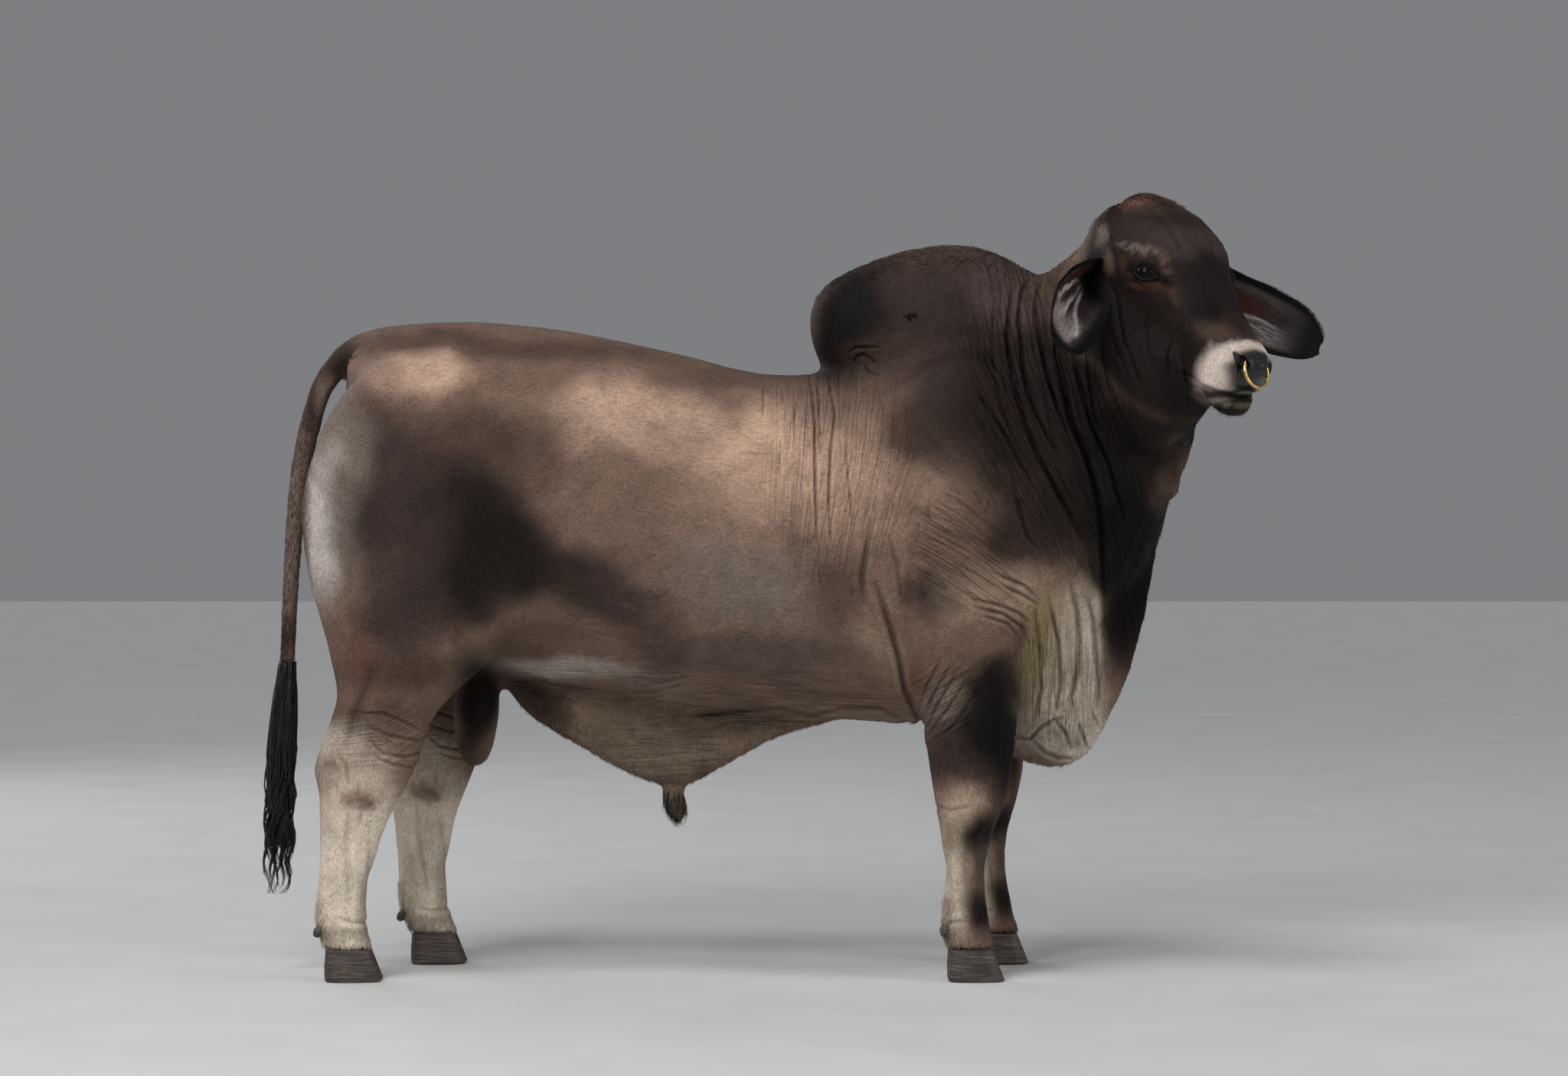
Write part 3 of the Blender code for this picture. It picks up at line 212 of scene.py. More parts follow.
# The folds of the neck, from the poll down to the brisket
NECK_FOLDS = creases(
    (((1322, 380), (1314, 440), (1317, 463), (1328, 513), (1339, 552), (1355, 594), (1378, 638),
      (1397, 674), (1412, 708)), 5.0, 0.0075, 0.75),
    (((1344, 366), (1335, 380), (1332, 399), (1330, 422), (1333, 449), (1335, 480), (1342, 510),
      (1353, 541), (1367, 569), (1383, 597)), 4.2, 0.0070, 0.7),
    (((1360, 363), (1354, 383), (1351, 405), (1353, 427), (1364, 477), (1372, 508), (1383, 541),
      (1394, 566)), 4.2, 0.0070, 0.7),
    (((1378, 361), (1379, 463), (1389, 508), (1397, 547), (1408, 572), (1419, 597), (1428, 630),
      (1436, 663), (1439, 699), (1440, 733), (1443, 816)), 6.0, 0.0120, 0.85),
    (((1401, 461), (1408, 497), (1424, 552), (1436, 580), (1449, 608), (1458, 641), (1469, 677)),
     4.5, 0.0080, 0.75),
    (((1417, 449), (1421, 486), (1428, 536), (1439, 569)), 3.6, 0.0055, 0.6),
    (((1437, 441), (1442, 474), (1453, 519), (1469, 552), (1486, 580)), 3.8, 0.0060, 0.6),
    (((1450, 427), (1458, 455), (1470, 490)), 3.2, 0.0040, 0.5),
    (((1447, 372), (1458, 386), (1469, 447), (1481, 480), (1494, 508)), 3.4, 0.0045, 0.55),
    (((1276, 511), (1289, 530), (1303, 552), (1317, 574), (1331, 602), (1344, 627), (1354, 647)),
     4.5, 0.0050, 0.55),
    (((1286, 469), (1300, 494), (1306, 508)), 3.6, 0.0035, 0.4),
    (((1322, 622), (1331, 663), (1342, 702), (1356, 719)), 4.2, 0.0050, 0.55),
    (((1300, 390), (1296, 440), (1300, 490), (1312, 540), (1330, 590)), 3.6, 0.0030, 0.3),
)

# The pleats over the brisket and the bag of skin below it
BRISKET_FOLDS = creases(
    (((1292, 744), (1310, 754), (1338, 765), (1356, 783)), 4.0, 0.0045, 0.5),
    (((1310, 765), (1335, 777), (1356, 790)), 3.6, 0.0040, 0.45),
    (((1271, 783), (1303, 790), (1331, 801), (1346, 815)), 3.8, 0.0045, 0.5),
    (((1274, 794), (1310, 802), (1335, 819), (1342, 840)), 3.8, 0.0045, 0.5),
    (((1281, 804), (1317, 815), (1331, 833)), 3.4, 0.0040, 0.45),
    (((1399, 765), (1407, 800), (1410, 840), (1406, 880), (1400, 910), (1404, 940)), 5.5, 0.0090, 0.7),
    (((1421, 783), (1428, 811), (1431, 854), (1435, 890), (1435, 926)), 5.0, 0.0085, 0.7),
    (((1371, 783), (1374, 801), (1383, 840), (1386, 890), (1380, 925)), 4.5, 0.0070, 0.6),
    (((1352, 800), (1358, 850), (1360, 900), (1350, 940)), 4.5, 0.0060, 0.5),
    (((1323, 963), (1345, 966), (1358, 952), (1374, 942), (1388, 938)), 4.2, 0.0065, 0.6),
    (((1346, 965), (1364, 983), (1381, 990), (1403, 992)), 4.0, 0.0055, 0.55),
    (((1374, 936), (1392, 958), (1399, 979)), 4.0, 0.0055, 0.5),
    (((1410, 947), (1421, 979)), 3.8, 0.0050, 0.5),
    (((1428, 933), (1435, 951)), 3.6, 0.0045, 0.5),
)

# Where the foreleg meets the body, and the wrinkles above its elbow
FORE_FOLDS = creases(
    (((1138, 680), (1131, 718), (1126, 754), (1128, 790)), 6.5, 0.0065, 0.5),
    (((1144, 765), (1155, 797), (1164, 826), (1174, 861), (1181, 901), (1196, 933), (1206, 958)),
     6.5, 0.0090, 0.55),
    (((1240, 870), (1215, 915), (1203, 950)), 3.6, 0.0035, 0.4),
    (((1252, 875), (1225, 920), (1207, 955)), 3.6, 0.0035, 0.4),
    (((1265, 885), (1235, 930), (1212, 960)), 3.6, 0.0035, 0.4),
    (((1230, 860), (1208, 900), (1198, 930)), 3.6, 0.0035, 0.4),
    (((1278, 900), (1248, 945), (1222, 968)), 3.6, 0.0030, 0.35),
    (((1160, 700), (1172, 740), (1176, 780)), 5.0, 0.0030, 0.3),
)

# The rib and flank creases, the wrinkles behind the hump and the folds of the belly
TRUNK_FOLDS = creases(
    (((1058, 490), (1064, 552), (1064, 608), (1065, 656), (1067, 711)), 3.4, 0.0050, 0.55),
    (((1067, 494), (1069, 535), (1071, 566), (1065, 607)), 2.8, 0.0030, 0.35),
    (((1082, 494), (1086, 518), (1090, 542), (1085, 587), (1083, 621), (1082, 656), (1084, 707)),
     3.2, 0.0045, 0.5),
    (((1105, 552), (1105, 594), (1109, 642), (1114, 690)), 3.2, 0.0030, 0.35),
    (((1037, 511), (1037, 600)), 3.0, 0.0025, 0.3),
    (((997, 501), (996, 545)), 3.0, 0.0022, 0.25),
    (((1021, 507), (1022, 530)), 3.0, 0.0022, 0.25),
    (((1019, 573), (1017, 621)), 3.0, 0.0022, 0.25),
    (((1069, 742), (1072, 770)), 3.0, 0.0022, 0.25),
    (((1107, 461), (1119, 454), (1148, 454)), 3.0, 0.0040, 0.5),
    (((1114, 476), (1119, 466), (1128, 463), (1145, 475)), 3.0, 0.0040, 0.5),
    (((1127, 476), (1134, 485), (1150, 490)), 3.0, 0.0035, 0.4),
    (((830, 885), (860, 892), (900, 885)), 3.6, 0.0040, 0.4),
    (((800, 905), (850, 905), (890, 895)), 3.6, 0.0040, 0.4),
    (((840, 915), (880, 905)), 3.4, 0.0035, 0.4),
    (((900, 935), (960, 930), (1020, 925), (1060, 935), (1100, 925), (1150, 925), (1190, 945)),
     5.0, 0.0070, 0.55),
    (((680, 880), (720, 893), (770, 900)), 4.5, 0.0040, 0.4),
)

# The wrinkles above the hock and round the root of the tail
HIND_FOLDS = creases(
    (((455, 933), (500, 932), (530, 945), (550, 955)), 3.6, 0.0035, 0.35),
    (((480, 950), (510, 962), (545, 968), (560, 962)), 3.6, 0.0035, 0.35),
    (((480, 965), (500, 985), (530, 990), (555, 982)), 3.6, 0.0035, 0.35),
    (((490, 990), (515, 1000), (545, 1005)), 3.6, 0.0030, 0.3),
    (((440, 985), (452, 1000), (455, 1030)), 4.5, 0.0030, 0.3),
)

# Tendons and joints of the legs
LEG_FOLDS = creases(
    (((1240, 1080), (1236, 1130), (1240, 1188)), 7.0, 0.0045, 0.20),
    (((1263, 1082), (1261, 1130), (1264, 1186)), 6.0, 0.0030, 0.15),
    (((1216, 1052), (1240, 1060), (1268, 1054)), 5.0, 0.0025, 0.15),
    (((1218, 1200), (1240, 1206), (1262, 1204)), 5.0, 0.0030, 0.25),
    (((456, 1052), (452, 1110), (456, 1182)), 7.0, 0.0045, 0.20),
    (((482, 1062), (484, 1120), (482, 1182)), 6.0, 0.0030, 0.15),
    (((486, 880), (462, 940), (452, 985)), 13.0, 0.0090, 0.25),
    (((440, 1200), (460, 1206), (490, 1204)), 5.0, 0.0030, 0.25),
)

# The lines of the face
FACE_FOLDS = creases(
    (((1495, 268), (1530, 300), (1545, 330), (1550, 345)), 5.0, 0.0028, 0.25),
    (((1545, 300), (1570, 330), (1580, 345)), 5.0, 0.0025, 0.25),
    (((1475, 368), (1482, 374), (1490, 376)), 2.2, 0.0018, 0.4),
    (((1500, 373), (1514, 376), (1528, 373)), 2.2, 0.0018, 0.4),
    (((1482, 384), (1500, 388), (1520, 384)), 2.4, 0.0014, 0.3),
    (((1560, 515), (1550, 500), (1545, 470), (1540, 450)), 3.4, 0.0035, 0.4),
    (((1530, 440), (1526, 470), (1530, 500)), 3.6, 0.0025, 0.25),
    (((1500, 400), (1496, 440), (1505, 480)), 5.0, 0.0025, 0.2),
    (((1448, 300), (1456, 320), (1456, 345)), 3.4, 0.0025, 0.3),
)

ALL_FOLDS = NECK_FOLDS + BRISKET_FOLDS + FORE_FOLDS + TRUNK_FOLDS + HIND_FOLDS + LEG_FOLDS + FACE_FOLDS

# The fine wrinkles
GRAINS = grains(
    ((330, 470, 600, 720, 830), (1215, 1250, 1318, 1385, 1420), (1425, 1440, 1475, 1508, 1525), 14.0, True,
     (1385, 590, 125, 300, -16), 0.75),
    ((460, 600, 760), (955, 955, 960), (1215, 1195, 1150), 20.0, True, (1098, 610, 118, 180, 0), 0.50),
    ((1180, 1260, 1340), (600, 640, 700), (740, 790, 850), 17.0, False, (1272, 722, 95, 85, 30), 0.75),
    ((740, 960), (1318, 1312), (1446, 1440), 13.0, True, (1388, 860, 72, 135, 0), 0.75),
    ((1190, 1290), (905, 842), (1010, 950), 12.0, False, (1238, 915, 62, 62, 0), 0.65),
    ((900, 1200), (850, 872), (962, 972), 12.0, False, (1030, 915, 190, 44, 3), 0.60),
    ((640, 900), (862, 872), (912, 925), 6.0, False, (770, 890, 140, 30, 4), 0.55),
    ((430, 500, 560), (930, 925, 895), (1040, 1035, 1010), 11.0, False, (500, 965, 84, 50, 0), 0.40),
    ((740, 950), (930, 940), (1060, 1040), 11.0, False, (860, 985, 110, 60, 0), 0.50),
)

# Broad swellings and hollows of muscle: middle and radii in pixels, height in metres, turn
FORMS = (
    (1180, 620, 70, 120, 0.010, 10.0),
    (1235, 820, 60, 70, 0.012, -20.0),
    (1128, 760, 22, 90, -0.010, 8.0),
    (1262, 700, 34, 90, -0.006, -30.0),
    (1210, 935, 26, 60, -0.006, 10.0),
    (640, 760, 40, 120, -0.014, 12.0),
    (530, 720, 80, 130, 0.010, 0.0),
    (540, 505, 60, 26, 0.006, 0.0),
    (720, 560, 60, 60, -0.010, 0.0),
    (900, 600, 130, 120, 0.006, 0.0),
    (1010, 720, 110, 90, 0.006, 0.0),
    (470, 1000, 14, 50, -0.006, 0.0),
)

# The markings, laid one over another
BODY_PATCHES = patches(
    (830, 465, 330, 26, Tone.BROWN, 0.6, 5),
    (650, 452, 260, 18, Tone.UMBER, 0.7, 3),
    (1000, 485, 160, 22, Tone.UMBER, 0.45, -2),
    # The pale rows here over the back and ribs are tan coat, made lighter still as a painted highlight where
    # light falls on the top of the trunk.
    (820, 545, 100, 62, Tone.TAN, 0.95, 8),
    (920, 575, 110, 80, Tone.DUN, 0.85, 15),
    (885, 530, 60, 36, Tone.TAN, 0.6, 10),
    (1010, 605, 100, 70, tone(192, 160, 138), 0.9),
    (960, 660, 90, 60, Tone.DUN, 0.6),
    (1105, 615, 70, 92, tone(172, 142, 124), 0.8),
    (1060, 535, 60, 50, Tone.BROWN, 0.6),
    (1040, 470, 70, 30, Tone.UMBER, 0.5),
    # The pale top of the rump: tan coat and a painted highlight.
    (548, 484, 72, 26, Tone.TAN, 0.95, 4),
    (492, 482, 40, 26, Tone.DUN, 0.7),
    (520, 560, 90, 56, Tone.UMBER, 0.9, 8),
    (610, 580, 90, 60, Tone.UMBER, 0.8, 20),
    (500, 640, 80, 110, Tone.HUMP, 0.85),
    (690, 600, 50, 60, Tone.UMBER, 0.6, 20),
    (560, 700, 130, 120, Tone.HUMP, 0.85),
    (620, 650, 90, 60, Tone.NECK, 0.75, 40),
    (655, 722, 120, 84, Tone.SOOT, 0.85, 28),
    (700, 730, 80, 44, Tone.BLACK, 0.45, 35),
    (600, 770, 80, 60, Tone.SOOT, 0.7, -10),
    (740, 755, 90, 62, Tone.SOOT, 0.7, 24),
    (790, 760, 60, 70, Tone.HUMP, 0.75),
    (520, 800, 90, 80, Tone.HUMP, 0.85),
    (840, 800, 70, 50, Tone.HUMP, 0.6),
    (700, 840, 80, 30, Tone.UMBER, 0.6),
    (960, 740, 110, 50, Tone.ASH, 0.75),
    (985, 790, 90, 36, Tone.ASH, 0.7),
    (1090, 780, 60, 60, Tone.UMBER, 0.6),
    # The lower flank and belly line: dark coat, partly painted shade.
    (980, 860, 180, 36, Tone.SLATE, 0.6),
    (860, 840, 60, 36, Tone.HUMP, 0.45),
    (440, 640, 44, 130, Tone.ASH, 0.9, 5),
    (414, 690, 30, 116, tone(190, 180, 174), 0.85, 4),
    (432, 530, 26, 60, Tone.ASH, 0.8, 16),
    (520, 880, 80, 36, Tone.UMBER, 0.85),
    (462, 862, 36, 30, Tone.RUST, 0.35),
    (735, 876, 112, 14, tone(170, 159, 150), 0.85, 3),
    (850, 896, 60, 14, Tone.ASH, 0.6, 8),
    (1150, 850, 36, 46, Tone.BEIGE, 0.55),
    (840, 985, 110, 70, Tone.PINK, 0.8),
    (760, 940, 90, 40, Tone.UMBER, 0.75, 26),
    (700, 905, 60, 26, Tone.SOOT, 0.8, 26),
    # The next two rows darken the underside as painted shade.
    (950, 945, 120, 22, Tone.HUMP, 0.6, -10),
    (845, 935, 60, 20, Tone.HUMP, 0.5),
    (888, 1052, 26, 26, Tone.SOOT, 0.98),
    (862, 1020, 40, 10, Tone.HUMP, 0.7),
    (920, 1004, 16, 10, Tone.HUMP, 0.7),
    (1200, 660, 60, 60, Tone.DUN, 0.6, -20),
    (1215, 560, 60, 60, Tone.UMBER, 0.75, -20),
    (1230, 770, 44, 30, Tone.HUMP, 0.8),
    (1225, 765, 26, 18, Tone.SOOT, 0.45),
    (1187, 768, 12, 24, Tone.HUMP, 0.5),
    (1195, 840, 50, 40, Tone.BROWN, 0.5),
    (1193, 885, 14, 40, Tone.RUST, 0.4),
    (620, 930, 44, 90, Tone.SOOT, 1.0),
)
NECK_PATCHES = patches(
    (1300, 520, 110, 190, Tone.NECK, 0.98, -22),
    (1190, 400, 150, 110, Tone.HUMP, 1.0),
    (1100, 425, 62, 74, Tone.BLACK, 0.92),
    (1070, 460, 40, 40, Tone.BLACK, 0.6),
    (1150, 460, 70, 24, Tone.UMBER, 0.5),
    (1380, 540, 90, 220, Tone.NECK, 0.95, -14),
    (1318, 392, 56, 44, tone(82, 66, 64), 0.85, 24),
    (1430, 600, 70, 240, Tone.SOOT, 0.95, -10),
    (1480, 740, 60, 200, Tone.BLACK, 0.95),
    (1500, 560, 84, 110, Tone.SOOT, 0.97),
    (1565, 560, 40, 40, Tone.SOOT, 0.9),
    (1530, 612, 15, 56, Tone.UMBER, 0.85, 10),
    (1525, 645, 12, 18, Tone.SLATE, 0.6),
    (1345, 690, 60, 44, Tone.NECK, 0.75),
    (1300, 775, 70, 50, Tone.SAND, 0.6),
    (1354, 850, 28, 84, tone(140, 124, 88), 0.85),
    (1402, 866, 44, 112, tone(188, 172, 152), 0.95),
    (1395, 962, 66, 40, tone(176, 164, 152), 0.95),
    (1428, 850, 13, 76, tone(206, 192, 178), 0.7),
    (1340, 950, 40, 34, tone(150, 138, 124), 0.8),
    (1330, 880, 12, 70, Tone.UMBER, 0.45),
)
FORE_PATCHES = patches(
    (1232, 925, 44, 46, Tone.ASH, 0.7),
    (1300, 928, 54, 78, Tone.SOOT, 0.94, 12),
    (1250, 990, 56, 44, Tone.HUMP, 0.92, -20),
    # The inner side of the far foreleg, painted black as shade.
    (1318, 975, 44, 118, Tone.BLACK, 0.97, 3),
    (1256, 1040, 30, 26, Tone.SAND, 0.8),
    (1240, 1150, 36, 110, Tone.SHANK, 0.97),
    (1245, 1092, 26, 30, Tone.BEIGE, 0.7),
    (1284, 1088, 26, 34, Tone.BLACK, 0.97),
    (1284, 1130, 10, 40, Tone.SLATE, 0.8),
    (1282, 1196, 26, 34, Tone.BLACK, 0.97),
    (1225, 1218, 20, 14, Tone.SLATE, 0.6),
)
HIND_PATCHES = patches(
    (470, 1130, 90, 170, tone(208, 194, 176), 1.0),
    (440, 965, 36, 30, Tone.SHANK, 0.9),
    (500, 925, 80, 40, Tone.UMBER, 0.7),
    (520, 960, 50, 34, Tone.BROWN, 0.8),
    (540, 1000, 30, 34, Tone.BROWN, 0.6),
    (430, 1000, 10, 10, Tone.UMBER, 0.5),
    (467, 1046, 32, 20, Tone.RUST, 0.75),
    (478, 1052, 14, 10, Tone.UMBER, 0.6),
    (480, 1180, 14, 60, Tone.ASH, 0.5),
    (450, 1218, 60, 10, Tone.ASH, 0.5),
)
TAIL_PATCHES = patches(
    (445, 462, 60, 40, Tone.HUMP, 0.8, -30),
    (455, 485, 20, 50, Tone.SOOT, 0.85, 30),
    (410, 530, 18, 60, Tone.HUMP, 0.9, 14),
    (380, 690, 20, 130, Tone.ASH, 0.8),
    (372, 850, 18, 44, Tone.HUMP, 0.9),
)
HEAD_PATCHES = patches(
    (1520, 400, 330, 330, Tone.HEAD, 1.0),
    (1520, 305, 60, 34, Tone.HUMP, 0.85),
    # A grey sheen on the forehead, painted as a highlight.
    (1545, 312, 34, 26, Tone.SLATE, 0.45),
    (1578, 380, 30, 50, Tone.SOOT, 0.65),
    (1580, 405, 28, 16, Tone.BLACK, 0.75),
    (1594, 432, 36, 16, Tone.UMBER, 0.95, 6),
    (1500, 500, 70, 70, Tone.SOOT, 0.85),
    (1455, 425, 34, 70, Tone.SOOT, 0.8),
    (1472, 257, 44, 13, tone(112, 80, 68), 0.9),
    (1500, 272, 40, 8, Tone.UMBER, 0.6),
    (1442, 308, 9, 17, Tone.ASH, 0.75),
    (1437, 326, 5, 8, Tone.SOOT, 0.7),
    (1449, 345, 8, 18, Tone.BROWN, 0.6),
    (1490, 325, 33, 6, Tone.ASH, 0.85, 8),
    (1522, 350, 8, 26, Tone.BROWN, 0.6, -16),
    (1532, 380, 8, 26, Tone.UMBER, 0.7, -16),
    (1474, 350, 12, 14, Tone.RUST, 0.5),
    (1500, 374, 30, 6, Tone.RUST, 0.5),
    (1496, 357, 24, 13, Tone.BLACK, 0.9),
    (1520, 366, 9, 6, Tone.BLACK, 0.95),
    (1588, 486, 24, 38, Tone.CREAM, 0.97, 16),
    (1600, 461, 22, 12, Tone.CREAM, 0.9, -14),
    (1625, 450, 36, 8, Tone.CREAM, 0.95, -4),
    (1578, 512, 20, 12, Tone.ASH, 0.8),
    (1640, 477, 32, 30, Tone.NOSE, 1.0),
    (1632, 500, 30, 18, Tone.NOSE, 0.95),
    (1604, 514, 50, 7, Tone.BLACK, 0.9),
    (1608, 529, 38, 9, Tone.SOOT, 0.9),
    (1627, 514, 17, 3.4, tone(110, 112, 102), 0.75, 3),
    (1600, 528, 9, 5, tone(104, 98, 80), 0.75),
    (1618, 530, 10, 5, tone(96, 92, 78), 0.7),
    (1634, 526, 7, 4, tone(86, 84, 72), 0.65),
    (1580, 552, 34, 18, Tone.SOOT, 0.85),
)


# Small helpers for arrays and meshes

def fade(values: Array, start: float, end: float) -> Array:
    """0 before start and 1 past end, with a soft step between."""
    t = np.clip((values - start) / (end - start), 0.0, 1.0)
    return t * t * (3 - 2 * t)


def mirrored(place: Vector, side: Side) -> Vector:
    """A place or way in the head's frame, given for the left, on either side."""
    return Vector((place.x, place.y * side.value, place.z))


def deselect() -> None:
    """Deselects every object."""
    for obj in bpy.context.view_layer.objects:
        obj.select_set(False)


def pick(*objects: Object) -> None:
    """Selects only these objects, and makes the first one active."""
    deselect()
    for obj in objects:
        obj.select_set(True)
    bpy.context.view_layer.objects.active = objects[0]


def stored(items: object, name: str, *shape: int, kind: type = float) -> Array:
    """One stored value of each item, as an array whose rows have the given shape."""
    values = np.empty((len(items), *shape), kind)
    flat = values.ravel()
    items.foreach_get(name, flat)
    return flat.reshape(values.shape)


def coordinates(obj: Object) -> Array:
    """An object's points as an array."""
    return stored(obj.data.vertices, "co", 3)


def place_points(obj: Object, points: Array) -> None:
    """Moves an object's points to those of an array."""
    obj.data.vertices.foreach_set("co", points.ravel())
    obj.data.update()


def normals_of(obj: Object) -> Array:
    """The normals at an object's points."""
    return stored(obj.data.vertices, "normal", 3)


def edges_of(obj: Object) -> Array:
    """The two ends of each edge."""
    return stored(obj.data.edges, "vertices", 2, kind=np.int32)


def carried(points: Array, matrix: Matrix) -> Array:
    """Points carried by a matrix."""
    whole = np.array(matrix)
    return points @ whole[:3, :3].T + whole[:3, 3]


def bell(values: Array, middle: float, width: float) -> Array:
    """1 at the middle, and next to nothing some widths away."""
    return np.exp(-(((values - middle) / width) ** 2))


def mixed(colours: Array, colour: Array, share: Array) -> Array:
    """Colours moved towards one colour."""
    return colours + (colour - colours) * share[:, None]


def relax(points: Array, ends: Array, weights: Array, rounds: int, keep: float = 0.0) -> Array:
    """Moves points towards the mean of their neighbours.

    Args:
        points: The points.
        ends: The two ends of each edge.
        weights: How far each point may move, 0 to 1.
        rounds: How many times.
        keep: How much of each move is given back, which keeps the volume.

    Returns:
        The moved points.
    """
    count = len(points)
    a, b = ends.T
    degree = np.maximum(np.bincount(a, minlength=count) + np.bincount(b, minlength=count), 1)
    steps = (0.5, -0.5 * keep) if keep else (0.5,)
    for _ in range(rounds):
        for step in steps:
            mean = np.stack([
                np.bincount(a, points[b, k], count) + np.bincount(b, points[a, k], count) for k in range(3)
            ], 1) / degree[:, None]
            points = points + (mean - points) * (step * weights)[:, None]
    return points


def add_object(name: str, data: object) -> Object:
    """A new object in the scene."""
    obj = bpy.data.objects.new(name, data)
    bpy.context.scene.collection.objects.link(obj)
    return obj


def mesh_object(name: str, points: Array, faces: list) -> Object:
    """A new object from points and faces."""
    mesh = bpy.data.meshes.new(name)
    mesh.from_pydata([tuple(p) for p in points], [], faces)
    mesh.update()
    return add_object(name, mesh)


@contextmanager
def editing(obj: Object, whole: bool = True) -> Iterator:
    """Opens an object for mesh operators, with all of it selected or only what is, and closes it again."""
    pick(obj)
    bpy.ops.object.mode_set(mode="EDIT")
    if whole:
        bpy.ops.mesh.select_all(action="SELECT")
    yield
    bpy.ops.object.mode_set(mode="OBJECT")


def apply_all(obj: Object) -> None:
    """Applies an object's modifiers, in order."""
    pick(obj)
    for modifier in list(obj.modifiers):
        bpy.ops.object.modifier_apply(modifier=modifier.name)


def remesh(obj: Object, voxel: float) -> None:
    """Makes one closed skin over an object's pieces."""
    pick(obj)
    obj.data.remesh_voxel_size = voxel
    obj.data.remesh_voxel_adaptivity = 0.0
    bpy.ops.object.voxel_remesh()


def thin_out(obj: Object, triangles: int) -> None:
    """Keeps the shape with at most so many triangles."""
    now = sum(len(p.vertices) - 2 for p in obj.data.polygons)
    if now > triangles:
        modifier = obj.modifiers.new("Decimate", "DECIMATE")
        modifier.show_viewport = False
        modifier.ratio = triangles / now
        modifier.use_collapse_triangulate = True
        apply_all(obj)


def held(points: Array) -> Array:
    """Points kept within the part's own box, above the floor."""
    low, high = (np.array(corner) for corner in CAD_BOX)
    return np.clip(points, low + BOX_MARGIN, high - BOX_MARGIN)


def finish_piece(obj: Object, material: Material) -> None:
    """Gives a piece its material and smooth shading, and reports it."""
    obj.data.materials.append(material)
    pick(obj)
    bpy.ops.object.shade_smooth()
    LOG.info("%s: %d faces", obj.name, len(obj.data.polygons))


def paint(obj: Object, name: str, colours: Array) -> None:
    """Stores a colour at each point of an object."""
    layer = obj.data.color_attributes.new(name, "FLOAT_COLOR", "POINT")
    rgba = np.ones((len(colours), 4), np.float32)
    rgba[:, :colours.shape[1]] = colours
    layer.data.foreach_set("color", rgba.ravel())


def copy_nodes(name: str, nodes: tuple) -> Object:
    """One object from copies of CAD nodes, with doubled points merged."""
    copies = [add_object(name, frame["nodes"][node].data.copy()) for node in nodes]
    pick(*copies)
    if len(copies) > 1:
        bpy.ops.object.join()
    obj = copies[0]
    obj.name = name
    obj.data.materials.clear()
    with editing(obj):
        bpy.ops.mesh.remove_doubles(threshold=MERGE_DISTANCE)
    return obj


